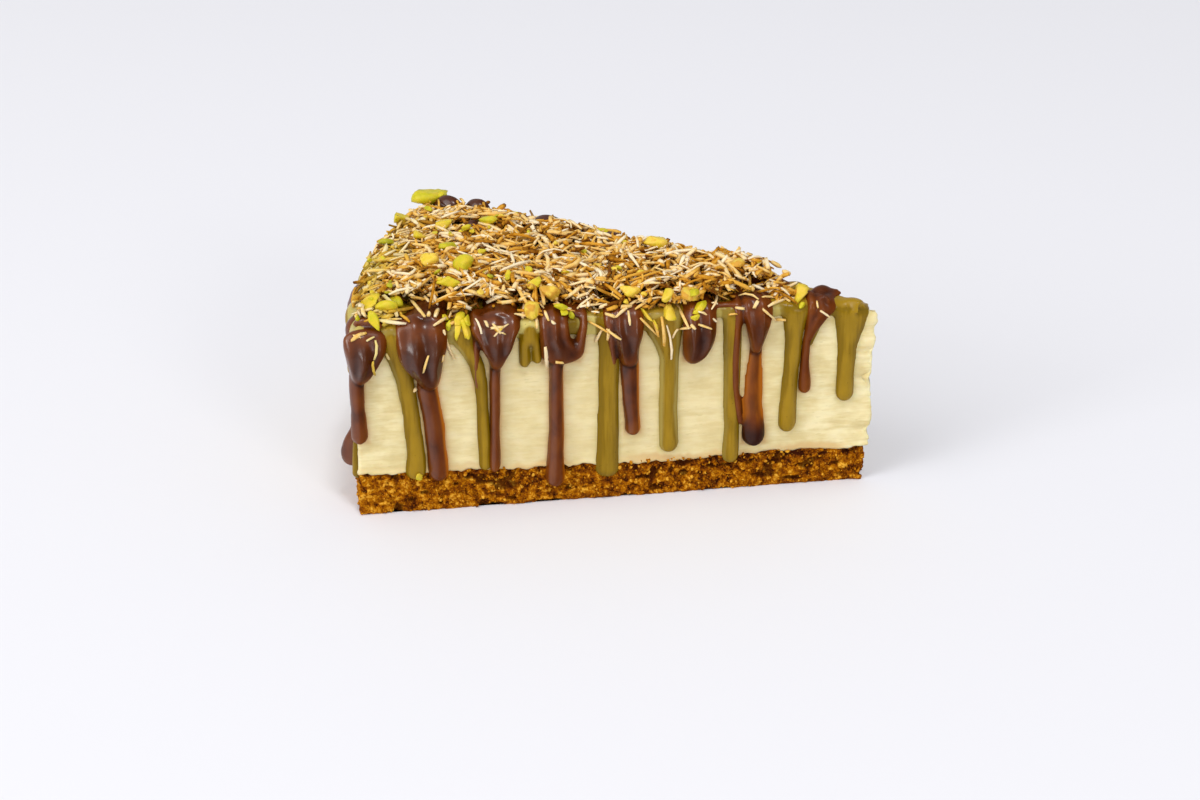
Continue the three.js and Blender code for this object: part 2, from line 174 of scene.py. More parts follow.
class Wedge:
    """The slice's plain form in millimetres, from the sizes in the sidebar."""

    def __init__(self, sizes):
        self.radius = sizes.cake_radius / MM
        self.half = sizes.wedge_angle / 2
        self.base_rim = sizes.base_at_rim / MM
        self.base_tip = sizes.base_at_tip / MM
        self.cream = sizes.cream_top / MM
        self.coat = sizes.coat_top / MM
        self.droop_depth = sizes.tip_droop / MM
        self.hub = np.array([-HUB * self.radius, 0.0])

    def base_top(self, s):
        """The height of the base, rising in a straight line from the tip to the rim."""
        return mix(self.base_tip, self.base_rim, s / self.radius)

    def seam(self, outline):
        """The uneven line between base and filling along an outline."""
        flat = np.column_stack([outline, 0 * outline[:, 0]])
        wavy = 0.45 * noise(flat, 3.4, SEED + 12) + 0.4 * noise(flat, 1.1, SEED + 13)
        s = np.linalg.norm(outline, axis=-1)
        sag = 0.7 * np.exp(-(((s - 52) / 9) ** 2)) + 0.3 * np.sin(math.pi * s / self.radius)
        return self.base_top(s) + wavy - sag

    def droop(self, s):
        """How far the top sinks towards the tip: in a straight line over the last stretch."""
        return self.droop_depth * np.maximum(0, 1 - s / DROOP_REACH)

    def inside(self, x, y):
        """How far a place lies in from the front cut and from the back cut."""
        cos, sin = math.cos(self.half), math.sin(self.half)
        return -x * sin + y * cos, -x * sin - y * cos

    def coat_top(self, s):
        """The top of the coat, with a swell before the tip, where it thins out."""
        s = np.asarray(s, float)
        swell = 0.9 * np.exp(-(((s - 11.5) / 4.5) ** 2)) - 0.6 * smooth(1 - s / 7)
        return self.coat - self.droop(s) + swell

    def outline(self, grow, spacing, blur):
        """The closed outline from above, clockwise from the tip: front cut, rim arc, back cut,
        each grown outwards, points evenly spaced, corners rounded by averaging the points over
        a Gaussian of blur. Gives the points, the outward directions and the distance from the
        tip of each."""
        reach = math.sqrt((self.radius + grow) ** 2 - grow**2)
        start = grow / math.tan(self.half)
        s = np.arange(-start, reach, spacing / 3)[:, None]
        along = np.array([-math.cos(self.half), -math.sin(self.half)])
        out = np.array([math.sin(self.half), -math.cos(self.half)])
        front = along * s + out * grow
        corner = math.atan2(front[-1, 1], front[-1, 0])
        steps = int(2 * (math.pi + corner) * self.radius / (spacing / 3))
        turn = np.linspace(corner, -2 * math.pi - corner, max(abs(steps), 300))[1:-1]
        arc = (self.radius + grow) * np.stack([np.cos(turn), np.sin(turn)], axis=-1)
        sharp = np.concatenate([front, arc, front[::-1] * [1, -1]])
        length = np.linalg.norm(np.diff(sharp, axis=0, append=sharp[:1]), axis=-1)
        at = np.concatenate([[0], np.cumsum(length)])
        count = int(at[-1] / spacing)
        want = np.linspace(0, at[-1], count, endpoint=False)
        closed = np.concatenate([sharp, sharp[:1]])
        points = np.stack([np.interp(want, at, closed[:, n]) for n in (0, 1)], axis=-1)
        wave = np.fft.rfftfreq(count, d=at[-1] / count)[:, None]
        damp = np.exp(-2 * (math.pi * wave * blur) ** 2)
        points = np.fft.irfft(np.fft.rfft(points, axis=0) * damp, n=count, axis=0)
        tangent = unit(np.roll(points, -1, axis=0) - np.roll(points, 1, axis=0))
        normal = np.stack([-tangent[:, 1], tangent[:, 0]], axis=-1)
        return points, normal, np.linalg.norm(points, axis=-1)

    def face(self, name, s):
        """For distances s along an upright face: the point on its foot line, the direction out
        of the slice and the direction in which s grows. On the rim, s is measured along the arc
        from its middle towards the back."""
        s = np.asarray(s, float)
        if name == "rim":
            turn = s / self.radius
            out = np.stack([-np.cos(turn), np.sin(turn), 0 * turn], axis=-1)
            along = np.stack([np.sin(turn), np.cos(turn), 0 * turn], axis=-1)
            return out * self.radius, out, along
        side = 1 if name == "front" else -1
        along = np.array([-math.cos(self.half), -side * math.sin(self.half), 0.0])
        out = np.array([math.sin(self.half), -side * math.cos(self.half), 0.0])
        return s[..., None] * along, np.broadcast_to(out, s.shape + (3,)), np.broadcast_to(
            along, s.shape + (3,)
        )

    def proud(self, points):
        """How far points stand out of the upright faces, and over the cream's top."""
        x, y, z = points[..., 0], points[..., 1], points[..., 2]
        cut = x * math.sin(self.half) + np.abs(y) * math.cos(self.half)
        side = np.maximum(cut, np.hypot(x, y) - self.radius)
        over = z - self.cream + self.droop(np.hypot(x, y))
        return side, over


# ------------------------------------------------------------------ meshes


def closed_rings(rows, columns, offset=0):
    """Quads between rings of points that close on themselves, rings going up and points going
    clockwise from above, with a fan of triangles to one more point at each end."""
    c = np.arange(columns)
    d = (c + 1) % columns
    r = np.arange(rows - 1)[:, None] * columns
    quads = np.stack([r + c, r + columns + c, r + columns + d, r + d], axis=-1).reshape(-1, 4)
    low, high = rows * columns, rows * columns + 1
    last = (rows - 1) * columns
    fan_low = np.stack([c, d, np.full(columns, low)], axis=-1)
    fan_high = np.stack([last + d, last + c, np.full(columns, high)], axis=-1)
    return [quads + offset, np.concatenate([fan_low, fan_high]) + offset]


def loft(rings):
    """Points and faces of a closed body from an array of rings."""
    rows, columns = rings.shape[:2]
    points = np.concatenate([rings.reshape(-1, 3), rings[[0, -1]].mean(axis=1)])
    return points, closed_rings(rows, columns)


def joined(bodies):
    """One list of points and faces from many bodies."""
    points, quads, triangles, count = [], [], [], 0
    for body, (four, three) in bodies:
        points.append(body)
        quads.append(four + count)
        triangles.append(three + count)
        count += len(body)
    return np.concatenate(points), [np.concatenate(quads), np.concatenate(triangles)]


def put_mesh(name, points, faces, soft=True, **values):
    """A Blender object from points in slice millimetres, arrays of quads and triangles, and a
    number at each point for every named attribute."""
    mesh = bpy.data.meshes.new(name)
    faces = [f for f in faces if len(f)]
    starts, count = [], 0
    for group in faces:
        starts.append(count + np.arange(0, group.size, group.shape[1]))
        count += group.size
    mesh.vertices.add(len(points))
    mesh.vertices.foreach_set("co", to_frame(points).astype(np.float32).ravel())
    mesh.loops.add(count)
    mesh.loops.foreach_set("vertex_index", np.concatenate([f.ravel() for f in faces]))
    mesh.polygons.add(sum(len(f) for f in faces))
    mesh.polygons.foreach_set("loop_start", np.concatenate(starts))
    mesh.update(calc_edges=True)
    if mesh.validate():
        raise RuntimeError(name + " has faulty faces")
    if soft:
        mesh.shade_smooth()
    add_values(mesh, **values)
    piece = bpy.data.objects.new(name, mesh)
    bpy.context.scene.collection.objects.link(piece)
    return piece


def add_values(mesh, **values):
    """A number at each point of a mesh for every named attribute."""
    for key, numbers in values.items():
        mesh.attributes.new(key, "FLOAT", "POINT").data.foreach_set(
            "value", np.asarray(numbers, np.float32)
        )


def finished(piece, steps):
    """Runs modifiers on a piece, each a type and its settings, and keeps the result as its mesh."""
    for number, (kind, settings) in enumerate(steps):
        step = piece.modifiers.new(str(number), kind)
        for key, value in settings.items():
            setattr(step, key, value)
    seen = piece.evaluated_get(bpy.context.evaluated_depsgraph_get())
    mesh = bpy.data.meshes.new_from_object(seen)
    mesh.name = piece.name
    old = piece.data
    piece.modifiers.clear()
    piece.data = mesh
    bpy.data.meshes.remove(old)
    return mesh


def mesh_points(mesh):
    """Points in slice millimetres, and their normals."""
    points = np.empty(len(mesh.vertices) * 3, np.float32)
    normals = np.empty(len(mesh.vertices) * 3, np.float32)
    mesh.vertices.foreach_get("co", points)
    mesh.vertex_normals.foreach_get("vector", normals)
    return from_frame(points.reshape(-1, 3).astype(float)), normals.reshape(-1, 3).astype(float)


def dress(piece, material, slot, *nodes):
    """Gives a piece its material and body, and hides the CAD nodes it stands for. The slot is not
    used.
    """
    piece.data.materials.clear()
    piece.data.materials.append(material)
    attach(piece, "root")
    if nodes:
        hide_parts(*nodes)
    return piece


# ------------------------------------------------------------------ materials


class Value:
    """What a node gives. +, - and * between numbers add Math nodes."""

    def __init__(self, finish, socket):
        self.finish = finish
        self.socket = socket

    def calc(self, operation, first, second):
        return self.finish.node("ShaderNodeMath", {"operation": operation}, {0: first, 1: second})

    def __add__(self, other):
        return self.calc("ADD", self, other)

    def __sub__(self, other):
        return self.calc("SUBTRACT", self, other)

    def __rsub__(self, other):
        return self.calc("SUBTRACT", other, self)

    def __mul__(self, other):
        return self.calc("MULTIPLY", self, other)

    __radd__ = __add__
    __rmul__ = __mul__


class Finish:
    """A material with one Principled shader, whose constants are set on its own sockets."""

    def __init__(self, name, **constants):
        self.material = bpy.data.materials.new(name)
        self.material.use_nodes = True
        self.tree = self.material.node_tree
        self.shader = self.tree.nodes["Principled BSDF"]
        for key, value in constants.items():
            name = key.replace("_", " ").title().replace("Ior", "IOR")
            self.shader.inputs[name].default_value = value
        place = self.node("ShaderNodeTexCoord", output="Object")
        scaled = {0: place, "Scale": 1 / MM}
        self.mm = self.node("ShaderNodeVectorMath", {"operation": "SCALE"}, scaled)

    def node(self, kind, settings=None, inputs=None, output=0):
        made = self.tree.nodes.new(kind)
        for key, value in (settings or {}).items():
            if key == "stops":
                self.set_stops(made.color_ramp, value)
            else:
                setattr(made, key, value)
        for key, value in (inputs or {}).items():
            self.feed(made.inputs[key], value)
        return Value(self, made.outputs[output])

    def feed(self, socket, value):
        if isinstance(value, Value):
            self.tree.links.new(value.socket, socket)
        elif socket.type == "RGBA":
            socket.default_value = (*value[:3], 1)
        else:
            socket.default_value = value

    @staticmethod
    def set_stops(ramp, stops):
        while len(ramp.elements) < len(stops):
            ramp.elements.new(0.5)
        for element, (at, colour) in zip(ramp.elements, stops):
            element.position = at
            element.color = (*colour[:3], 1)

    def attribute(self, name):
        return self.node("ShaderNodeAttribute", {"attribute_name": name}, output="Fac")

    def noise(self, size, detail=2.0, stretch=(1, 1, 1), rough=0.5):
        """Noise from 0 to 1, size in millimetres; stretch draws it out along an axis."""
        squeeze = tuple(1 / s for s in stretch)
        where = self.node(
            "ShaderNodeVectorMath", {"operation": "MULTIPLY"}, {0: self.mm, 1: squeeze}
        )
        inputs = {"Vector": where, "Scale": 1 / size, "Detail": detail, "Roughness": rough}
        return self.node("ShaderNodeTexNoise", None, inputs)

    def ramp(self, factor, *stops):
        return self.node("ShaderNodeValToRGB", {"stops": stops}, {"Fac": factor})

    def span(self, value, low, high, to_low=0.0, to_high=1.0):
        settings = {"interpolation_type": "SMOOTHSTEP"}
        inputs = {0: value, 1: low, 2: high, 3: to_low, 4: to_high}
        return self.node("ShaderNodeMapRange", settings, inputs)

    def blend(self, factor, a, b):
        settings = {"data_type": "RGBA"}
        return self.node("ShaderNodeMix", settings, {0: factor, 6: a, 7: b}, output=2)

    def bump(self, height, millimetres, strength=1.0):
        inputs = {"Height": height, "Distance": millimetres * MM, "Strength": strength}
        self.set("Normal", self.node("ShaderNodeBump", None, inputs))

    def set(self, socket, value):
        self.feed(self.shader.inputs[socket], value)


def biscuit_finish(look):
    """Baked crumb: each grain its own brown or gold, with painted shade in the pits between them,
    darker in an upper band, with tiny bright specks."""
    f = Finish("biscuit_crumb", specular_ior_level=0.04)
    mottle = f.noise(1.8, 3) * 0.9 + f.noise(0.4, 2) * 0.5 - 0.7
    tone = f.attribute("grain") * 0.7 + 0.16 + mottle * 1.8
    colour = f.ramp(
        tone,
        (0.05, look.crumb_dark_and_pit_shade),
        (0.38, look.crumb_brown),
        (0.68, look.crumb_gold),
        (0.95, look.crumb_light),
    )
    speck = f.span(f.noise(0.42, 1), 0.7, 0.75)
    colour = f.blend(speck * 0.8, colour, look.crumb_light)
    # Painted shade: where the relief sinks into a pit, the crumb is blended towards the darkest
    # colour
    pit = f.span(f.attribute("depth"), -0.7, 0.05, 1.0, 0.0)
    f.set("Base Color", f.blend(pit * 0.75, colour, look.crumb_dark_and_pit_shade))
    f.set("Roughness", 0.6 + f.noise(0.8, 2) * 0.4)
    f.bump(f.noise(0.3, 3), 0.3, 1.0)
    return f.material


def cream_finish(look):
    """Cream-cheese filling: pale yellow with short level streaks from the knife, cloudy patches,
    light scattered below the surface, a crumb-stained lower edge, and beside the sauce runs a
    painted glow and shade, in part a real stain."""
    f = Finish(
        "cream_cheese",
        specular_ior_level=0.25,
        subsurface_weight=0.25,
        subsurface_radius=(1.0, 0.7, 0.35),
        subsurface_scale=0.0015,
    )
    streak = f.noise(1.0, 3, (5, 5, 0.8))
    cloud = f.noise(6.5, 3, (1, 1, 0.7))
    tone = (streak - 0.5) * 0.8 + (cloud - 0.5) * 1.5 + 0.5
    colour = f.ramp(tone, (0.25, look.cream_shade), (0.5, look.cream), (0.75, look.cream_light))
    colour = f.blend(f.attribute("dull"), colour, look.cream_dull)
    fleck = f.span(f.noise(0.8, 2, (3, 3, 0.5)), 0.64, 0.72)
    colour = f.blend(fleck * 0.25, colour, look.cream_fleck)
    # Painted glow and shade beside the runs, in part a real stain: olive beside pistachio, amber
    # beside chocolate
    colour = f.blend(f.attribute("olive"), colour, look.cream_olive_glow_and_shade)
    colour = f.blend(f.attribute("amber"), colour, look.cream_amber_glow_and_shade)
    colour = f.blend(f.attribute("stain"), colour, look.cream_stain)
    f.set("Base Color", colour)
    f.set("Roughness", 0.5 + f.noise(2, 2) * 0.15)
    f.bump(f.noise(0.6, 4, (4, 4, 0.8)), 0.1, 0.6)
    return f.material


def pistachio_finish(look):
    """Pistachio sauce: olive gold, greener at its edges, paler where it is a thin glaze, with
    faint streaks down the runs. Painted shade darkens the thin edges and the creases, and painted
    light brightens the thick middle of each run."""
    f = Finish(
        "pistachio_sauce",
        specular_ior_level=0.15,
        subsurface_weight=0.08,
        subsurface_radius=(1.0, 0.8, 0.2),
        subsurface_scale=0.001,
    )
    streak = f.noise(0.9, 2, (1, 1, 14))
    # Besides the edges' greener colour: painted shade on the thin edges and painted light on the
    # thick middle
    thick = f.span(f.attribute("proud") + (streak - 0.5) * 1.3, 0.1, 1.5)
    colour = f.ramp(
        thick, (0.0, look.pistachio_edge_and_shade), (0.6, look.pistachio), (1.0, look.pistachio_painted_light)
    )
    cloud = f.span(f.noise(4, 3, (1, 1, 1.8)), 0.35, 0.7)
    colour = f.blend(cloud * 0.3, colour, look.pistachio_edge_and_shade)
    # Painted shade: darker in the sauce's creases
    crease_shade = f.span(f.attribute("hollow"), 0.02, 0.25)
    colour = f.blend(crease_shade * 0.35, colour, look.pistachio_dark_and_crease_shade)
    colour = f.blend(f.attribute("glaze"), colour, look.pistachio_glaze)
    speck = f.span(f.noise(0.45, 1), 0.72, 0.76)
    f.set("Base Color", f.blend(speck * 0.5, colour, look.pistachio_dark_and_crease_shade))
    f.set("Roughness", 0.16 + f.noise(3, 2) * 0.14)
    f.bump(f.noise(1.4, 2, (1, 1, 5)), 0.14, 0.6)
    return f.material


def chocolate_finish(look):
    """Set milk chocolate: brown and glossy, orange where a thin film lets the filling through, with
    a painted orange glow on sides towards the tip, painted shade in creases, and darker where
    thick.
    """
    f = Finish(
        "chocolate_sauce",
        specular_ior_level=0.05,
        coat_roughness=0.24,
        subsurface_weight=0.03,
        subsurface_radius=(1.0, 0.45, 0.2),
        subsurface_scale=0.001,
    )
    # Painted shade: the tone drops in the creases, where hollow is positive
    tone = (f.noise(3.5, 3, (1, 1, 1.6)) - 0.5) * 0.6 + 0.4 - f.attribute("hollow") * 0.6
    colour = f.ramp(
        tone,
        (0.2, look.chocolate_dark_and_crease_shade),
        (0.5, look.chocolate),
        (0.85, look.chocolate_light),
    )
    # Orange: the real thin film, and also a painted glow on the sides towards the tip
    film = f.attribute("film") + (f.noise(1.2, 2, (1, 1, 6)) - 0.5) * 0.4
    colour = f.blend(f.span(film, 0.1, 1.0), colour, look.chocolate_film_and_glow)
    colour = f.blend(f.attribute("thick"), colour, look.chocolate_dark_and_crease_shade)
    f.set("Base Color", colour)
    f.set("Coat Weight", f.attribute("sheen") * (f.noise(5.0, 2) * 0.3 + 0.8))
    f.set("Roughness", 0.35)
    f.bump(f.noise(2.0, 2, (1, 1, 4)), 0.08, 0.4)
    return f.material


def strand_finish(look):
    """Toasted pastry strands: each its own tone from cream to brown, and darker the deeper it
    lies, as painted shade.
    """
    f = Finish(
        "toasted_kunafa",
        specular_ior_level=0.08,
        subsurface_weight=0.06,
        subsurface_radius=(1.0, 0.7, 0.4),
        subsurface_scale=0.0006,
    )
    tone = f.attribute("toast") + (f.noise(0.9, 3) - 0.5) * 0.4
    colour = f.ramp(
        tone,
        (0.05, look.strand_pale),
        (0.3, look.strand_cream),
        (0.55, look.strand_gold),
        (0.8, look.strand_orange),
        (1.0, look.strand_dark_and_deep_shade),
    )
    # Painted shade: the lower strands are blended towards the darkest colour
    colour = f.blend(f.attribute("deep") * 0.8, colour, look.strand_dark_and_deep_shade)
    colour = f.blend(f.attribute("green"), colour, look.strand_green)
    f.set("Base Color", colour)
    f.set("Roughness", 0.5 + f.noise(0.6, 2) * 0.25)
    f.bump(f.noise(0.22, 3), 0.06, 0.6)
    return f.material


def nut_finish(look):
    """Chopped pistachio: green or yellow flesh, tan on cut faces, with shreds of dark skin."""
    f = Finish(
        "chopped_pistachio",
        specular_ior_level=0.3,
        subsurface_weight=0.12,
        subsurface_radius=(0.8, 1.0, 0.3),
        subsurface_scale=0.0008,
    )
    tone = f.attribute("hue") + (f.noise(2.2, 2) - 0.5) * 1.0
    colour = f.ramp(
        tone,
        (0.0, look.nut_deep),
        (0.3, look.nut_green),
        (0.6, look.nut_yellow),
        (0.8, look.nut_pale),
        (0.97, look.nut_tan),
    )
    skin = f.span(f.noise(1.3, 2) + f.attribute("skin"), 1.02, 1.1)
    f.set("Base Color", f.blend(skin * 0.8, colour, look.nut_skin))
    f.set("Roughness", 0.3 + f.noise(0.7, 2) * 0.2)
    f.bump(f.noise(0.4, 3), 0.12, 0.7)
    return f.material


# ------------------------------------------------------------------ base and filling


def crumb_relief(points):
    """Depth of the crumb's surface: domes over large and small grains, each at a height of its
    own, gentle lumps, and pits where a slow noise runs high. Also gives each grain's number."""
    rough = points + 0.35 * np.stack([noise(points, 0.9, SEED + n) for n in (1, 2, 3)], axis=-1)
    far, mark = grains(rough, 1.5, SEED)
    fine, fine_mark = grains(rough, 0.7, SEED + 9)
    dome = np.sqrt(np.maximum(0, 1 - (far / 0.85) ** 2)) - 0.55
    small = np.sqrt(np.maximum(0, 1 - (fine / 0.9) ** 2)) - 0.5
    pit = smooth((noise(points, (3.4, 3.4, 1.7), SEED + 5) - 0.3) / 0.35)
    relief = 0.3 * dome + 0.42 * (mark - 0.5) + 0.26 * small + 0.3 * noise(points, 7, SEED + 6)
    return relief - 0.9 * pit, 0.5 * mark + 0.5 * fine_mark


def crumb_body(wedge):
    """The base: the outline carried up in rings, pushed along its normals by the crumb relief
    and drawn in at the lower and upper edges, closed by rings towards the middle."""
    outline, normal, s = wedge.outline(-0.05, 0.27, 0.5)
    rows = 40
    share = np.linspace(0, 1, rows)[:, None]
    x = np.broadcast_to(outline[:, 0], (rows, len(outline)))
    y = np.broadcast_to(outline[:, 1], (rows, len(outline)))
    top = wedge.seam(outline) - 0.1
    z = share * top
    points = np.stack([x, y, z], axis=-1)
    relief, grain = crumb_relief(points)
    edge = np.minimum(share * top, (1 - share) * top)
    drawn = 0.3 * (1 - smooth(edge / 0.6))
    push = (relief - drawn)[..., None] * np.append(normal, 0 * normal[:, :1], axis=-1)
    points = points + push
    points[0, :, 2] = 0
    inner = [mix(wedge.hub, outline, k) for k in (0.985, 0.8, 0.4)]
    low = [np.column_stack([ring, 0 * top]) for ring in inner]
    high = [np.column_stack([ring, top]) for ring in inner]
    rings = np.concatenate([low[::-1], points, high])
    pad = np.zeros((3, len(outline)))
    depth = np.concatenate([pad, relief, pad]).ravel()
    band = -0.2 * smooth((share * top - top + 3.2) / 2.0) + 0.22 * smooth((s - 96) / 26) - 0.08
    grain = grain + band + 0.12 * noise(points, 9, SEED + 8)
    mark = np.concatenate([pad + 0.4, grain, pad + 0.4]).ravel()
    body, faces = loft(rings)
    ends = np.zeros(2)
    return body, faces, np.append(mark, ends + 0.4), np.append(depth, ends)


def lump(across, around, seed, count, sharp=6.0, least=0.62):
    """Unit chunks, count of them: the sphere of directions over a grid, each direction's radius
    the soft least of the distances to a few random planes, so that the faces are flat and the
    edges worn. Gives points (count, n, 3) and the faces of one."""
    rng = np.random.default_rng(seed)
    polar = np.linspace(0, math.pi, across + 2)[1:-1][:, None]
    turn = -np.linspace(0, 2 * math.pi, around, endpoint=False)
    way = np.stack(
        [np.sin(polar) * np.cos(turn), np.sin(polar) * np.sin(turn), -np.cos(polar) + 0 * turn],
        axis=-1,
    ).reshape(-1, 3)
    way = np.concatenate([way, [[0, 0, -1], [0, 0, 1]]])
    planes = unit(rng.normal(size=(count, 9, 3)))
    far = rng.uniform(least, 1.0, size=(count, 9, 1))
    closeness = np.maximum(planes @ way.T, 0.02) / far
    radius = (closeness**sharp).sum(axis=1) ** (-1 / sharp)
    return way * np.minimum(radius, 1.25)[..., None], closed_rings(across, around)


def turned(points, yaw, pitch, roll):
    """Points (count, n, 3) turned about X by roll, then Y by pitch, then Z by yaw."""
    for angle, (a, b) in ((roll, (1, 2)), (pitch, (2, 0)), (yaw, (0, 1))):
        cos, sin = np.cos(angle)[:, None], np.sin(angle)[:, None]
        u, v = points[..., a], points[..., b]
        points = points.copy()
        points[..., a], points[..., b] = u * cos - v * sin, u * sin + v * cos
    return points


def many(shapes, faces):
    """Points, faces and each point's number of its copy, for copies (count, n, 3) of a shape."""
    count, size = shapes.shape[:2]
    shift = (np.arange(count) * size)[:, None, None]
    groups = [(f + shift).reshape(-1, f.shape[-1]) for f in faces]
    return shapes.reshape(-1, 3), groups, np.repeat(np.arange(count), size)


def crumb_bits(wedge):
    """Loose grains pressed into the base's sides, at random places along its outline."""
    rng = np.random.default_rng(SEED + 2)
    count = 1300
    outline, normal, s = wedge.outline(-0.05, 0.33, 0.5)
    pick = rng.integers(0, len(outline), count)
    height = rng.uniform(0.02, 0.98, count) ** 0.9 * wedge.base_top(s[pick])
    size = rng.uniform(0.2, 0.5, count)
    shapes, faces = lump(4, 7, SEED + 3, count)
    shapes = shapes * size[:, None, None] * [1.25, 1.0, 0.8]
    shapes = turned(shapes, *rng.uniform(0, 6.3, (3, count)))
    place = np.column_stack([outline[pick], np.maximum(height, size * 0.8)])
    relief, _ = crumb_relief(place)
    out = np.column_stack([normal[pick], 0 * height])
    place = place + out * (relief + 0.15 * size)[:, None]
    points, faces, number = many(shapes + place[:, None], faces)
    points[:, 2] = np.maximum(points[:, 2], 0.02)
    return points, faces, rng.uniform(0.25, 1.0, count)[number], np.full(len(points), 0.3)


def cream_body(wedge):
    """The filling: the outline carried up in rings, pushed by knife drag (noise drawn out along
    the cut and short in height), by slow swells, and by nicks where the tip tore."""
    outline, normal, s = wedge.outline(-0.1, 0.5, 0.55)
    rows = 84
    share = np.linspace(0, 1, rows)[:, None]
    foot = wedge.seam(outline) - 0.05
    top = wedge.cream - wedge.droop(s)
    z = mix(foot, top, share)
    x, y = outline[:, 0] + 0 * z, outline[:, 1] + 0 * z
    points = np.stack([x, y, z], axis=-1)
    drag = 0.1 * cloudy(points, (16, 16, 1.1), SEED + 20) + 0.05 * noise(points, (3, 3, 0.7), 5)
    swell = 0.16 * noise(points, (26, 26, 9), SEED + 22)
    near = np.exp(-s / 2.6)
    torn = cloudy(points * [0.2, 0.2, 1], 2.2, SEED + 23) * 0.55 - 0.25
    nick = -1.5 * np.exp(-(((z - 28.5) / 1.1) ** 2)) - 1.2 * np.exp(-(((z - 14.2) / 1.0) ** 2))
    nick += 0.5 * np.exp(-(((z - 19) / 2.5) ** 2)) - 0.6 * np.exp(-(((z - 36) / 0.8) ** 2))
    smear = 0.45 * smooth((foot + 1.2 - z) / 1.2) * smooth(noise(points, (9, 9, 99), 7) + 0.6)
    corner = 0.6 * smooth((z - top + 1.2) / 1.2)
    push = drag + swell + smear + near * (torn + nick) - corner
    points = points + push[..., None] * np.append(normal, 0 * normal[:, :1], axis=-1)
    points[..., 0] += (1.5 + 0.3 * share) * np.exp(-((s / 4.5) ** 2))
    spill = np.exp(-(((s - 52) / 10) ** 2))
    hem = smooth((foot + 1.9 + spill + noise(points, (5, 5, 50), SEED + 24) - z) / 1.3)
    stain = hem * np.maximum(smooth(0.75 + noise(points, (11, 11, 60), SEED + 25)), spill)
    inner = [mix(wedge.hub, outline, k) for k in (0.97, 0.6)]
    low = [np.column_stack([ring, foot]) for ring in inner]
    high = [np.column_stack([ring, top]) for ring in inner]
    rings = np.concatenate([low[::-1], points, high])
    body, faces = loft(rings)
    pad = np.zeros((2, len(outline)))
    stain = np.append(np.concatenate([pad, stain * 0.9, pad]).ravel(), [0, 0])
    return body, faces, stain


# ------------------------------------------------------------------ sauces

# Runs of sauce on the front cut, from the rim to the tip. Each is a list of stations down the
# face: distance from the tip, height, width and thickness; the last height is the lowest point.
PISTACHIO_FRONT = [
    [(117.6, 49.5, 6.0, 1.5), (116.8, 44, 6.4, 1.5), (115.4, 40, 5.6, 1.4), (114.4, 34, 4.4, 1.4),
     (113.4, 26, 4.3, 1.4), (112.7, 16, 4.7, 1.6), (112.9, 12, 5.5, 2.1), (112.9, 9.2, 5.4, 2.1)],
    [(101.4, 50, 7.0, 1.3), (101.0, 46, 6.2, 1.4), (99.0, 42.5, 4.6, 1.3), (97.4, 39, 3.8, 1.2),
     (96.4, 34, 3.5, 1.2), (96.0, 22, 3.2, 1.2), (95.9, 13, 3.4, 1.5), (95.9, 10.4, 3.4, 1.5)],
    [(84.4, 46.4, 5.4, 1.5), (84.4, 45.2, 6.0, 1.9), (84.4, 43.6, 5.0, 1.6)],
    [(85.7, 46.0, 2.4, 1.5), (85.9, 45.0, 2.8, 1.8), (85.8, 42, 2.8, 1.7), (85.7, 37.9, 3.0, 1.7)],
    [(83.2, 46.0, 2.2, 1.5), (83.0, 45.0, 2.5, 1.7), (82.8, 42, 2.5, 1.6), (82.7, 38.8, 2.6, 1.6)],
    [(65.3, 48, 6.0, 1.4), (65.2, 38, 5.2, 1.3), (65.2, 25, 5.5, 1.3), (65.5, 12, 6.0, 1.3),
     (65.5, 8, 6.3, 1.4), (65.5, 5.8, 6.3, 1.2)],
    [(51.9, 49, 10.6, 1.3), (51.6, 45, 9.4, 1.5), (50.9, 42, 6.8, 1.4), (50.3, 38, 5.0, 1.3),
     (50.4, 25, 4.9, 1.3), (50.2, 14.5, 5.2, 1.6), (50.2, 12, 5.2, 1.6)],
    [(34.9, 48, 5.2, 1.3), (34.6, 30, 4.4, 1.3), (34.4, 16, 4.2, 1.3), (34.5, 11, 4.5, 1.6),
     (34.5, 7.4, 4.4, 1.6)],
    [(19.4, 49, 7.4, 1.4), (19.4, 45, 6.0, 1.5), (19.4, 41, 4.7, 1.4), (19.6, 35, 4.2, 1.3),
     (20.1, 28, 4.4, 1.4), (20.4, 19, 4.7, 1.9), (20.4, 15.4, 4.6, 1.9)],
    [(13.4, 49, 3.2, 0.9), (13.5, 45, 2.8, 0.9), (14.8, 40.5, 1.8, 0.8), (15.4, 38.5, 1.2, 0.6)],
    [(5.4, 48.5, 10.4, 1.2), (5.3, 45, 9.2, 1.4), (5.5, 41, 7.0, 1.4), (5.9, 37, 5.2, 1.3),
     (6.0, 30, 4.5, 1.4), (6.0, 25.5, 4.8, 1.9), (6.0, 22.8, 4.7, 1.8)],
]
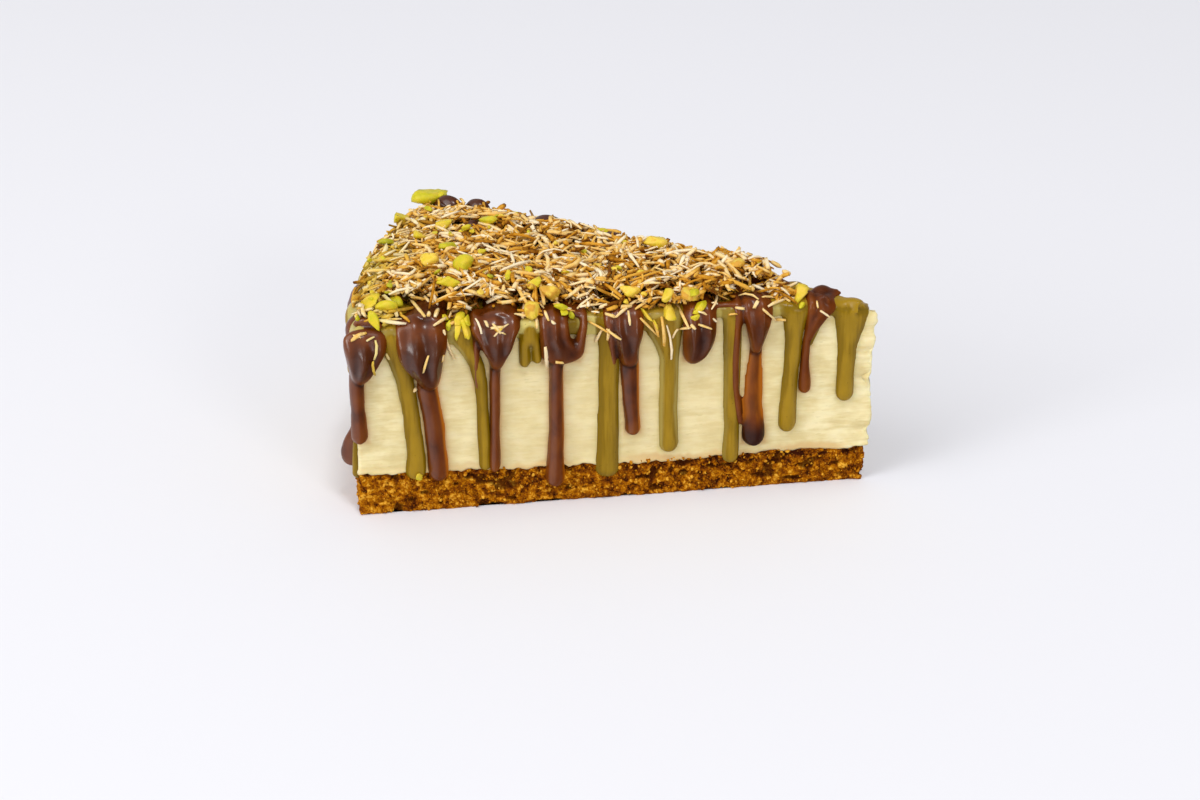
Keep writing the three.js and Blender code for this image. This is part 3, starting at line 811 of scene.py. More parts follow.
CHOCOLATE_FRONT = [
    [(125.9, 41, 4.0, 2.2), (126.3, 36, 3.9, 2.1), (126.3, 29, 3.4, 1.9), (126.2, 23.5, 4.4, 2.5),
     (126.2, 19.9, 4.3, 2.5)],
    [(109.6, 37.5, 4.6, 2.0), (109.5, 34, 5.4, 2.1), (108.3, 26, 5.3, 1.9),
     (107.6, 15.5, 5.2, 1.9), (107.4, 8.5, 5.4, 2.3)],
    [(92.7, 41, 3.0, 2.0), (93.1, 34, 2.8, 1.9), (93.3, 20, 2.8, 1.8), (93.6, 12.5, 3.3, 2.3),
     (93.6, 10, 3.2, 2.2)],
    [(97.5, 50, 2.3, 1.6), (97.5, 45, 1.9, 1.5), (97.6, 39, 1.8, 1.4), (97.3, 32.6, 1.2, 1.0)],
    [(78.0, 42, 4.2, 2.1), (78.1, 36, 3.6, 1.9), (78.2, 20, 3.8, 1.8), (78.6, 9, 4.9, 2.5),
     (78.6, 4.4, 5.0, 2.4)],
    [(60.2, 41, 4.6, 1.9), (60.0, 34, 4.9, 1.7), (59.8, 27, 4.5, 1.7), (59.3, 21, 3.9, 2.2),
     (59.2, 17.6, 3.9, 2.3)],
    [(33.6, 49, 2.9, 1.7), (33.8, 44, 2.5, 1.8), (34.1, 36, 2.3, 2.0), (33.9, 29, 2.3, 2.0),
     (33.0, 23, 2.1, 1.8), (32.2, 18.5, 1.9, 1.5)],
    [(28.7, 41, 3.2, 1.7), (28.9, 36.5, 3.6, 1.0), (29.1, 32, 4.5, 0.8), (29.2, 26, 4.9, 0.8),
     (29.0, 21, 5.2, 1.7), (28.8, 15.8, 6.1, 3.0), (28.7, 12.3, 6.0, 3.0)],
    [(15.2, 49.5, 2.8, 1.7), (15.6, 45, 2.2, 1.6), (16.2, 40, 2.2, 1.5), (16.5, 34, 2.3, 1.4),
     (16.4, 29.5, 3.2, 1.9), (16.4, 26, 3.2, 1.8)],
]

# The one of CHOCOLATE_FRONT that is a thin film between its head and the bulb at its foot
FILM_RUN = 7

# The wide head over each run: stations as above, and its soft folds, each the place across the
# head (-1 on the side of the tip, 1 on the side of the rim) and the share by which it is thicker
CHOCOLATE_HEADS = [
    ([(123.8, 50.7, 10.4, 1.2), (123.8, 47, 10.6, 2.5), (123.9, 44, 9.6, 3.4),
      (124.6, 41.5, 7.6, 3.9), (125.0, 39, 5.6, 3.7), (125.4, 36.6, 3.8, 2.8)],
     [(0.8, 0.3), (0.1, 0.35), (-0.75, 0.25)]),
    ([(110.4, 50, 12.6, 1.5), (110.4, 47, 12.8, 2.5), (110.4, 44.5, 12.4, 3.6),
      (110.5, 41.4, 10.6, 4.5), (109.6, 38.0, 7.4, 4.5), (109.0, 35.5, 5.0, 3.8),
      (108.9, 33.8, 4.2, 2.8)],
     [(0.9, 0.3), (0.3, 0.3), (-0.55, 0.35)]),
    ([(92.6, 50, 12.4, 1.4), (92.8, 47.8, 10.8, 2.0), (92.6, 46.5, 9.6, 2.5), (92.5, 44, 7.8, 3.1),
      (92.4, 42, 5.4, 3.3), (92.5, 40, 3.8, 3.0), (92.7, 38, 3.0, 2.3)],
     [(0.8, 0.5), (-0.75, 0.5), (0.05, 0.2)]),
    ([(78.6, 50, 7.4, 1.5), (78.6, 47, 7.4, 2.2), (78.4, 44.8, 7.6, 2.7), (77.2, 43.2, 9.6, 2.9),
      (76.6, 41, 10.8, 3.0), (76.7, 39.4, 10.2, 2.9), (76.9, 38.2, 9.0, 2.3)],
     [(0.7, 0.35), (0.0, 0.3), (-0.8, 0.3)]),
    ([(61.2, 50, 8.9, 1.4), (61.2, 47, 8.7, 2.2), (60.9, 44.6, 7.6, 2.9), (60.8, 41.3, 6.0, 3.1),
      (60.2, 38.1, 4.6, 2.7), (60.0, 36.4, 4.2, 2.0)],
     [(0.5, 0.4), (-0.6, 0.3)]),
    ([(43.0, 50, 8.4, 1.5), (43.0, 47, 8.5, 2.5), (43.0, 44, 8.4, 3.5), (43.3, 41, 7.6, 4.1),
      (44.0, 38.5, 6.0, 4.1), (44.6, 37.4, 4.8, 3.6), (44.8, 36.4, 4.0, 2.8)],
     [(0.5, 0.35), (-0.5, 0.3)]),
    ([(28.8, 50, 7.6, 1.5), (28.7, 47.6, 6.8, 2.3), (28.7, 45.4, 6.0, 2.9), (28.8, 42.4, 4.5, 3.3),
      (28.9, 39.6, 3.0, 2.9), (28.9, 38.0, 2.5, 2.2)],
     [(0.75, 0.35), (-0.3, 0.3)]),
    ([(11.8, 50, 5.4, 0.9), (12.6, 47.8, 4.8, 1.5), (13.9, 45.2, 3.6, 1.5),
      (15.2, 42.6, 2.6, 1.4), (16.0, 40, 2.2, 1.3)],
     [(0.5, 0.3)]),
    ([(71.4, 50, 2.2, 1.5), (71.8, 46.5, 2.4, 2.2), (72.6, 43, 3.0, 2.7), (72.9, 40.4, 3.2, 2.5)],
     [(0.0, 0.1)]),
    ([(65.3, 50, 2.8, 1.6), (65.0, 45.5, 2.4, 2.1), (64.5, 41.5, 1.8, 1.9), (64.0, 37.0, 1.2, 1.3)],
     [(0.0, 0.1)]),
]

# Turns of the chocolate along the front edge: ends, as distances from the tip, how far in from
# the cut at each end, and width
CHOCOLATE_TURNS = [
    (89.0, 80.0, 2.2, 1.6, 3.2), (42.0, 33.0, 1.6, 1.0, 3.4), (28.0, 21.5, 2.5, 7.0, 4.0),
]

# Runs of CHOCOLATE_FRONT whose side towards the tip gets a painted orange glow, and how strongly
CHOCOLATE_GLOW = [(1, 0.9), (4, 0.55), (5, 0.95), (2, 0.3), (0, 0.15), (8, 0.3)]

# Thick turns of the chocolate lines near the back edge: x, y, radii along and across, and height
LUMPS = [
    (-105.2, 31.0, 3.8, 2.6, 56.8), (-113.0, 31.6, 4.4, 2.8, 56.9), (-84.9, 24.8, 5.0, 3.0, 55.8),
    (-67.6, 18.0, 3.8, 2.8, 55.4), (-55.4, 14.4, 4.4, 2.6, 55.0), (-103.7, 18.4, 3.0, 2.4, 56.2),
]

# Where each chocolate line on top meets the front edge and the back edge, and its width there
CHOCOLATE_LINES = [
    (123.6, 120.0, 8.0), (110.5, 111.5, 9.5), (92.6, 94.5, 8.5), (76.2, 77.5, 8.5),
    (60.6, 62.0, 6.5), (43.6, 44.5, 6.0), (29.6, 27.0, 5.5), (12.6, 9.8, 4.4),
]

# Runs on the rim: head, end, head width, run width, neck height and lowest point, after the one
# nearest the front corner, which is given by its stations
CHOCOLATE_RIM = [
    (-12.5, -13.2, 9.0, 4.6, 38, 21), (6.0, 5.2, 10.0, 5.2, 36, 9.5),
    (24.0, 24.6, 8.5, 4.4, 39, 30),
]
CHOCOLATE_RIM_FIRST = [
    (-31.0, 48, 5.2, 1.6), (-32.0, 41, 4.4, 1.2), (-32.8, 34, 3.5, 0.8), (-33.1, 25, 3.0, 0.7),
    (-33.2, 21.5, 3.4, 1.0), (-33.2, 18, 4.8, 3.3), (-33.2, 14.5, 5.4, 4.3),
    (-33.2, 10.5, 4.8, 3.6),
]
PISTACHIO_RIM = [
    (-22.5, -23.0, 7.5, 5.0, 41, 30), (-3.6, -3.0, 6.4, 4.8, 42, 33),
    (15.0, 15.8, 7.0, 5.2, 40, 16), (33.5, 33.0, 6.6, 4.8, 41, 11.5),
]
PISTACHIO_RIM_FIRST = [
    (-37.0, 48, 3.4, 0.4), (-37.2, 41, 3.0, 0.4), (-37.3, 25, 2.8, 0.5), (-37.2, 14, 3.2, 1.5),
    (-37.2, 9.3, 3.2, 1.7),
]

# Radius of the coat's upper edge above the rim, and above the two cuts
RIM_RADIUS = 4.2
EDGE_RADIUS = 2.7

# How far the coat reaches down the front cut: distance from the tip and depth
FRONT_HEM = [
    (0, 0.4), (3, 0.9), (10, 1.8), (23, 2.0), (38, 1.6), (50, 2.6), (57, 3.6), (69, 4.2),
    (78, 3.0), (84, 4.4), (92, 3.0), (104, 4.0), (118, 5.0), (127, 4.2),
]


def poured(wedge, face, stations, inset=6.0, lift=0.0, on_top=1.0, power=1.6, folds=()):
    """A run of sauce. Where its first station is near the top, its way comes up out of the coat,
    goes over the top for the inset and round a quarter of a circle, and then down the face;
    otherwise, or with no inset, it starts on the face. Place, width and thickness follow the
    stations by height, eased by a running mean. A ring of the way rises by the sine to a power
    over its width, to the thickness or to the share on_top of it before the edge, more by a
    Gaussian at each fold, and reaches back into the food as half an ellipse; the rings shrink to
    the ends as a circle does."""
    s, z, width, thick = np.array(stations, float).T
    if face != "rim":
        inset = min(inset, 0.25 * s[0])
    radius = RIM_RADIUS if face == "rim" else EDGE_RADIUS
    bend = radius * math.pi / 2
    hung = inset + bend
    top = wedge.coat_top(99.0 if face == "rim" else s[0]) - 0.5
    over = inset > 0 and z[0] > top - radius - 1.5
    first = 0 if over else hung + top - radius - z[0]
    d = np.arange(first, hung + top - radius - z[-1] + 0.4, 0.4)
    height = np.where(d < hung, top, top - radius - (d - hung))
    kernel = np.hanning(11)
    kernel /= kernel.sum()
    s, width, thick = [
        np.convolve(np.pad(np.interp(-height, -z, v), 5, mode="edge"), kernel, mode="valid")
        for v in (s, width, thick)
    ]
    to_end = d[-1] - d + 1e-3
    if not over:
        to_end = np.minimum(to_end, d - first + 1e-3)
    round_off = np.sqrt(1 - np.clip(1 - to_end / np.minimum(width / 2, 2.6), 0, 1) ** 2)
    width, thick = width * round_off, thick * round_off**0.8
    turn = np.clip((d - inset) / radius, 0, math.pi / 2)
    fallen = np.maximum(d - hung, 0)
    thick = thick * mix(on_top, 1, smooth((d - inset + 1.5) / (bend + 1.5)))
    raised = lift * (1 - smooth((fallen - 1.5) / 7))
    reach = np.minimum(d - inset, 0) + radius * (np.sin(turn) - 1) + raised
    foot, out, along = wedge.face(face, s)
    centre = foot + out * reach[:, None]
    centre[:, 2] = top + radius * (np.cos(turn) - 1) - fallen
    if over:
        centre[:, 2] -= 2.2 * (1 - smooth(d / (0.75 * inset)))
    up = out * np.sin(turn)[:, None] + np.array([0, 0, 1.0]) * np.cos(turn)[:, None]
    around = np.linspace(0, 2 * math.pi, 40 if folds else 20, endpoint=False)
    sign = 1 if face != "back" else -1
    side = sign * np.cos(around)[None, :, None] * (width / 2)[:, None, None] * along[:, None]
    high = np.sin(around)[None, :]
    more = sum(1.5 * share * np.exp(-(((np.cos(around) - at) / 0.24) ** 2)) for at, share in folds)
    more = 1 + smooth(to_end / 7)[:, None] * more
    rise = np.where(high > 0, np.abs(high) ** power * more * thick[:, None], 1.1 * high)
    rings = centre[:, None] + side + rise[..., None] * up[:, None]
    if face != "rim":
        across = s[:, None] + np.cos(around) * (width / 2)[:, None]
        sink = wedge.coat_top(across) - wedge.coat_top(s)[:, None]
        rings[..., 2] += sink * (1 - smooth(fallen / 6))[:, None]
    return loft(rings)


def by_rule(drip):
    """Stations of a hidden run: head and run widths joined smoothly at its neck."""
    head, end, head_width, run_width, neck, foot = drip
    at = [mix(head, end, t) for t in (0, 0.2, 0.4, 0.8, 1, 1)]
    return list(
        zip(
            at,
            (48, neck + 5, neck - 1, mix(neck, foot, 0.6), foot + 3.2, foot),
            (head_width, head_width * 0.8, run_width, run_width * 0.96, run_width * 1.12,
             run_width * 1.1),
            (1.8, 2.0, 1.6, 1.5, 2.0, 2.0),
        )
    )


def head_by_rule(drip, share):
    """Stations and folds for the head of a hidden run, closing in on its neck, with a share of
    the front's thickness."""
    head, end, head_width, run_width, neck, _ = drip
    n = int(abs(head))
    heights = (50, 46.5, mix(46.5, neck, 0.55), neck, neck - 2.2 - 2 * spread(n, 2))
    closing = (0, 0, 0.25, 0.7, 1)
    deep = (1.8, 2.8, 3.2 + 0.5 * spread(n, 1), 2.9, 2.1)
    stations = [
        (mix(head, end, 0.4 * c), z, mix(head_width, run_width, c), share * thick)
        for z, c, thick in zip(heights, closing, deep)
    ]
    folds = [(mix(-0.9, 0.9, spread(n + k, 3)), 0.12 + 0.15 * spread(n + k, 0)) for k in (0, 1, 2)]
    return stations, folds


def back_of(drips, kind):
    """The back's runs: opposite the front's, with shifts, widths and falls of their own."""
    made = []
    for i, (head, end, head_width, run_width) in enumerate(drips):
        head = min(head + 3 * (spread(i, kind) - 0.5), 121)
        end = min(head + 4 * (spread(i, kind + 1) - 0.5), 121)
        made.append(
            (
                head,
                end,
                head_width * mix(0.75, 1.05, spread(i + 3, kind)),
                run_width * mix(0.9, 1.15, spread(i + 5, kind)),
                mix(37, 41, spread(i, kind + 1)),
                mix(8, 33, spread(i + 2, kind)),
            )
        )
    return made


# The front's runs in short, for the back's: place of head and end, widths of head and run
FRONT_CHOCOLATE_SIZES = [
    (123.2, 125.6, 10, 4.4), (110.5, 107.5, 13, 5.4), (92.6, 93.7, 11.4, 3.8),
    (76.4, 78.4, 10.9, 4.2), (61, 59.4, 8.4, 4.6), (43.5, 44.4, 8.1, 6), (33.6, 31.8, 2.6, 2.2),
    (28.5, 28.8, 7.5, 5.2), (12.4, 16.1, 6, 2.6),
]
FRONT_PISTACHIO_SIZES = [
    (117.4, 112.9, 5.6, 5.1), (99, 96, 5.4, 4), (84.4, 84.4, 6, 5.4), (65.3, 65.5, 5.6, 5.9),
    (51.6, 50.2, 9.3, 4.9), (34.8, 34.5, 5.2, 4.3), (19.1, 19.8, 6.6, 4.8), (5.9, 6.1, 9.6, 5),
]


def drizzle(wedge, a, b, width, seed):
    """A line of sauce on the top: half an ellipse carried between two places, its width and
    height wandering with slow noise, lower where it runs out."""
    t = np.linspace(0.02, 0.98, 120)
    centre = a + (b - a) * t[:, None]
    centre[:, 2] = wedge.coat_top(np.hypot(centre[:, 0], centre[:, 1])) - 0.3
    wander = noise(centre + seed * 7.7, 7, seed)
    high = (1.5 + 0.5 * wander + 0.5 * np.abs(2 * t - 1) ** 4) * (width / 8) ** 0.7
    wide = width * (0.5 + 0.12 * noise(centre, 5, seed + 1) - 0.1 * np.sin(math.pi * t))
    across = unit(np.cross([0, 0, 1.0], b - a))
    around = np.linspace(0, 2 * math.pi, 16, endpoint=False)
    rise = np.where(np.sin(around) > 0, np.sin(around) * high[:, None], 0.8 * np.sin(around))
    rings = centre[:, None] - np.cos(around)[None, :, None] * wide[:, None, None] * across
    rings[..., 2] += rise
    return loft(rings)


def coat_body(wedge):
    """The pistachio coat: rings that start inside the filling, come out at a wavy hem, round a
    lip, go up the skirt, over the edge on a quarter circle and in over the top."""
    outline, normal, s = wedge.outline(0.0, 0.8, 0.8)
    flat = np.column_stack([outline, 0 * s])
    front = outline[:, 1] < -0.3
    at, deep = np.array(FRONT_HEM).T
    plain = 3.0 + 0.9 * noise(flat, 6, SEED + 30)
    hem = wedge.cream - wedge.droop(s) - np.where(front, np.interp(s, at, deep), plain)
    hem = hem + 0.35 * noise(flat, 3, SEED + 33)
    proud = 0.5 + 0.15 * noise(flat, 9, SEED + 31)
    top = wedge.coat_top(s)
    radius = mix(EDGE_RADIUS, RIM_RADIUS, smooth((s - wedge.radius + 4) / 3.5))
    steps = [(-2.5 + 0 * s, hem + 1.5), (-0.3 + 0 * s, hem + 0.3)]
    for angle in np.linspace(-0.45 * math.pi, 0, 4):
        steps.append((proud * math.cos(angle), hem + 0.7 + 0.7 * math.sin(angle)))
    steps.append((proud, mix(hem + 0.7, top - radius, 0.5)))
    for angle in np.linspace(0, math.pi / 2, 5):
        drawn = radius * (1 - math.cos(angle))
        steps.append((proud - drawn, top - radius * (1 - math.sin(angle))))
    rings = [np.column_stack([outline + normal * grow[:, None], z]) for grow, z in steps]
    inner = rings[-1][:, :2]
    for share in (0.92, 0.75, 0.5, 0.25):
        ring = mix(wedge.hub, inner, share)
        height = wedge.coat_top(np.linalg.norm(ring, axis=-1))
        wavy = 0.25 * noise(np.column_stack([ring, 0 * s]), 8, SEED + 32)
        rings.append(np.column_stack([ring, height + wavy]))
    low = mix(wedge.hub, rings[0][:, :2], 0.5)
    rings.insert(0, np.column_stack([low, 0 * s + wedge.cream - 2]))
    return loft(np.array(rings))


def pistachio_bodies(wedge):
    """The coat, and every run of each face as a poured body."""
    backs = [by_rule(drip) for drip in back_of(FRONT_PISTACHIO_SIZES, 1)]
    rims = [PISTACHIO_RIM_FIRST, *[by_rule(drip) for drip in PISTACHIO_RIM]]
    return [
        coat_body(wedge),
        *[poured(wedge, "front", run, on_top=0.45) for run in PISTACHIO_FRONT],
        *[poured(wedge, "back", run, on_top=0.45) for run in backs],
        *[poured(wedge, "rim", run, on_top=0.45) for run in rims],
    ]


def blob(x, y, long, wide, top, low):
    """An ellipsoid from its middle, its radii along the back edge and across, and its top and
    underside: rings of a circle from pole to pole."""
    polar = np.linspace(-math.pi / 2, math.pi / 2, 12)[1:-1][:, None]
    turn = -np.linspace(0, 2 * math.pi, 20, endpoint=False)
    u, v = np.cos(polar) * np.cos(turn) * long, np.cos(polar) * np.sin(turn) * wide
    z = mix(low, top, (np.sin(polar) + 1) / 2) + 0 * turn
    bearing = math.atan2(y, x)
    cos, sin = math.cos(bearing), math.sin(bearing)
    return loft(np.stack([x + u * cos - v * sin, y + u * sin + v * cos, z], axis=-1))


def chocolate_bodies(wedge):
    """Every run and head of each face as a poured body, the zigzag of lines over the top with
    thinner ones that join their ends, the turns along the front edge, and the lumps near the
    back edge. Of the front's heads, the one nearest the rim starts on the face and the others
    come over the edge."""
    bodies = [poured(wedge, "front", run) for run in CHOCOLATE_FRONT]
    round_heads = {"lift": 0.6, "power": 0.85}
    for n, (head, folds) in enumerate(CHOCOLATE_HEADS):
        inset = 8 if n else 0
        bodies.append(poured(wedge, "front", head, inset=inset, folds=folds, **round_heads))
    for face, drips in (("back", back_of(FRONT_CHOCOLATE_SIZES, 0)), ("rim", CHOCOLATE_RIM)):
        for drip in drips:
            share = 0.3 if face == "rim" else 1.0
            bodies.append(poured(wedge, face, by_rule(drip), inset=7, on_top=share))
            if drip[2] > 7:
                head, folds = head_by_rule(drip, 0.6 if face == "rim" else 1.0)
                bodies.append(
                    poured(wedge, face, head, inset=7, on_top=share, power=0.85, folds=folds)
                )
    fronts, backs = [
        [wedge.face(name, float(line[n]))[0] for line in CHOCOLATE_LINES]
        for n, name in enumerate(("front", "back"))
    ]
    for n, (_, _, width) in enumerate(CHOCOLATE_LINES):
        bodies.append(drizzle(wedge, fronts[n], backs[n], width, SEED + 50 + n))
        if n:
            bodies.append(drizzle(wedge, fronts[n], backs[n - 1], width * 0.6, SEED + 70 + n))
    for n, (start, end, deep, end_deep, width) in enumerate(CHOCOLATE_TURNS):
        spots, out, _ = wedge.face("front", [start, end])
        spots = spots - out * np.array([[deep], [end_deep]])
        bodies.append(drizzle(wedge, *spots, width, SEED + 90 + n))
    bodies.append(poured(wedge, "rim", CHOCOLATE_RIM_FIRST, on_top=0.3))
    bodies += [blob(*lump_sizes, wedge.coat - 1.0) for lump_sizes in LUMPS]
    return bodies


def melted(name, bodies, voxel, keep, fine):
    """Joins bodies of sauce into one skin, rounds the creases where they meet, thins the mesh to
    a share of its triangles, and pushes its points along their normals by slow and fine noise."""
    points, faces = joined(bodies)
    piece = put_mesh(name, points, faces)
    finished(
        piece,
        [
            ("REMESH", {"mode": "VOXEL", "voxel_size": voxel * MM, "use_smooth_shade": True}),
            ("SMOOTH", {"factor": 0.5, "iterations": 6}),
            ("DECIMATE", {"ratio": keep}),
        ],
    )
    piece.data.shade_smooth()
    points, normals = mesh_points(piece.data)
    push = 0.2 * noise(points, 4.6, SEED + 40) + fine * noise(points, (2, 2, 3), SEED + 41)
    points = to_frame(points + normals * push[:, None])
    piece.data.vertices.foreach_set("co", points.astype(np.float32).ravel())
    piece.data.update()
    return piece


def sauce_values(wedge, mesh):
    """At each point: how proud of the food the sauce stands, and how much of its normal points
    along the face towards the tip."""
    points, normals = mesh_points(mesh)
    side, over = wedge.proud(points)
    proud = np.where(over > 0.4, np.maximum(side, over), side)
    front = points[:, 1] < 0
    tipward = np.where(front[:, None], wedge.face("front", 0.0)[2], wedge.face("back", 0.0)[2])
    return points, proud, -(normals * tipward).sum(axis=-1)


def gap_to(wedge, points, runs):
    """How far points on the front cut lie outside the nearest of some runs, in millimetres; far
    off for points elsewhere."""
    _, out, along = wedge.face("front", 0.0)
    here = points @ along
    height = points[:, 2]
    gap = np.full(len(points), 99.0)
    for stations in runs:
        s, z, width, _ = np.array(stations, float).T
        away = np.abs(np.interp(-height, -z, s) - here) - np.interp(-height, -z, width) / 2
        past = np.maximum(z[-1] - height, (height - z[0] - 0.5) * (z[0] < 47))
        gap = np.minimum(gap, np.hypot(np.maximum(away, 0), np.maximum(past, 0)))
    return np.where(points @ out < -1.5, 99.0, gap)


def beside(wedge, points, stations):
    """How far points on the front cut lie from a run's middle line towards the tip, in half
    widths of the run; far off for points elsewhere."""
    s, z, width, _ = np.array(stations, float).T
    here = points @ wedge.face("front", 0.0)[2]
    height = points[:, 2]
    offset = np.interp(-height, -z, s) - here
    aside = offset / (np.interp(-height, -z, width) / 2)
    side, _ = wedge.proud(points)
    off = (points[:, 1] > 0) | (height > z[0] + 1) | (height < z[-1] - 2) | (side < -1)
    return np.where(off, 99.0, aside)


def hollow(mesh, rounds=14):
    """How deep each point lies below the surface averaged over its neighbours again and again,
    in millimetres: positive in creases, negative on ridges."""
    points, normals = mesh_points(mesh)
    ends = np.empty(len(mesh.edges) * 2, np.int32)
    mesh.edges.foreach_get("vertices", ends)
    a, b = ends.reshape(-1, 2).T
    near, other = np.concatenate([a, b]), np.concatenate([b, a])
    share = 1 / np.maximum(np.bincount(near, minlength=len(points)), 1)
    even = points
    for _ in range(rounds):
        sums = [np.bincount(near, even[other, n], len(points)) for n in range(3)]
        even = np.stack(sums, axis=-1) * share[:, None]
    return ((even - points) * normals).sum(axis=-1)


# ------------------------------------------------------------------ topping


# Where chocolate stays bare of strands along the front cut: distance from the tip, half width,
# depth inwards from the cut, and the share of strands that still lie there
BARE_FRONT = [
    (124.0, 4.5, 1.6, 0.15), (110.5, 6.8, 10.0, 0.03), (92.5, 6.6, 5.6, 0.05),
    (76.5, 5.8, 4.6, 0.10), (62.0, 4.4, 3.6, 0.2), (42.0, 5.5, 2.4, 0.3), (29.0, 5.5, 9.0, 0.12),
    (100.0, 3.0, 1.5, 0.4), (84.5, 2.4, 2.4, 0.2), (69.0, 2.0, 1.5, 0.4), (36.0, 2.0, 2.0, 0.3),
]

# Round bare spots on top: x, y, radius and the share of strands that still lie there
BARE_SPOTS = [
    (-105.2, 30.4, 2.6, 0.05), (-113.8, 30.6, 2.6, 0.1), (-85.0, 24.2, 3.0, 0.4),
    (-67.6, 17.4, 3.0, 0.08), (-55.4, 14.0, 2.2, 0.1), (-103.7, 17.4, 2.6, 0.1),
    (-104.8, 0.8, 1.6, 0.2), (-69.2, 3.3, 1.8, 0.25), (-57.3, -1.7, 1.6, 0.3),
    (-43.2, 4.2, 2.4, 0.25), (-33.8, 0.0, 2.0, 0.3), (-80.3, -2.2, 1.6, 0.3),
    (-101.6, 9.6, 2.2, 0.2), (-110.0, 12.0, 1.6, 0.3), (-96.0, 12.5, 1.6, 0.3),
    (-23.0, 3.0, 4.5, 0.2), (-90.5, 2.0, 1.5, 0.3), (-75.0, 10.0, 1.5, 0.3),
]


class Heap:
    """Heights of what already lies on the slice, on a fine grid seen from above."""

    CELL = 0.3

    def __init__(self, wedge, meshes):
        self.low = np.array([-wedge.radius - 6, -48.0])
        self.shape = tuple(((np.array([6.0, 48.0]) - self.low) / self.CELL).astype(int))
        self.height = np.full(self.shape, -50.0)
        for mesh in meshes:
            points, _ = mesh_points(mesh)
            self.raise_to(points[:, :2], points[:, 2])
        for _ in range(2):
            self.height = self.spread_out(self.height)

    @staticmethod
    def spread_out(height):
        """The highest of each cell and its four neighbours, to close gaps between points."""
        out = height.copy()
        for axis, step in itertools.product((0, 1), (-1, 1)):
            out = np.maximum(out, np.roll(height, step, axis=axis))
        return out

    def cells(self, xy):
        index = ((xy - self.low) / self.CELL).astype(int)
        index = np.clip(index, 0, np.array(self.shape) - 1)
        return index[..., 0], index[..., 1]

    def under(self, xy):
        return self.height[self.cells(xy)]

    def raise_to(self, xy, z):
        np.maximum.at(self.height, self.cells(xy), z)


def cover(wedge, x, y):
    """The share of strands that stay at a place on top: smooth steps multiplied, down to less on
    bare spots and stretches of the front edge, near the rim and back edge, and at the tip."""
    r = np.hypot(x, y)
    share = smooth((r - 17.5) / 7)
    s = -x * math.cos(wedge.half) - y * math.sin(wedge.half)
    inside, back = wedge.inside(x, y)
    for at, half, depth, keep in BARE_FRONT:
        blocked = smooth((half - np.abs(s - at)) / 1.4 + 0.5) * smooth((depth - inside) / 1.0 + 0.5)
        share = share * mix(1, keep, blocked)
    for spot_x, spot_y, radius, keep in BARE_SPOTS:
        apart = np.hypot(x - spot_x, y - spot_y)
        share = share * mix(1, keep, smooth((radius - apart) / 0.8 + 0.5))
    share = share * mix(0.3, 1, smooth((wedge.radius - r - 1.6) / 2.4))
    return share * mix(0.35, 1, smooth((back - 0.6) / 1.6)) * (inside > -0.6)


def most_above(wedge, spot):
    """How high the heap may stand over the coat at a place: its full height less the larger of
    a smooth step along each cut, neither near the tip, and less another along the rim."""
    r = np.hypot(*spot)
    inside, back = wedge.inside(*spot)
    wide = smooth((r - 36) / 12)
    at_back = 1.7 * (1 - smooth(back / 9)) * wide
    at_front = 2.6 * (1 - smooth((inside - 0.5) / 7)) * wide
    return 4.8 - np.maximum(at_back, at_front) - 1.8 * smooth((r - wedge.radius + 16) / 12)


def rest_line(heap, centre, way, length, tilt=None):
    """Lets a straight stick down on the heap: of a fan of slopes, the one whose line clears all
    heights under it with the lowest middle. Gives the middle's height and the rise to the end."""
    t = np.linspace(-1, 1, 11)
    h = heap.under(centre + t[:, None] * way * length / 2)
    slopes = np.linspace(-1, 1, 13) * 0.26 * length if tilt is None else np.array([tilt])
    middles = (h - slopes[:, None] * t).max(axis=1)
    best = middles.argmin()
    return middles[best], slopes[best]


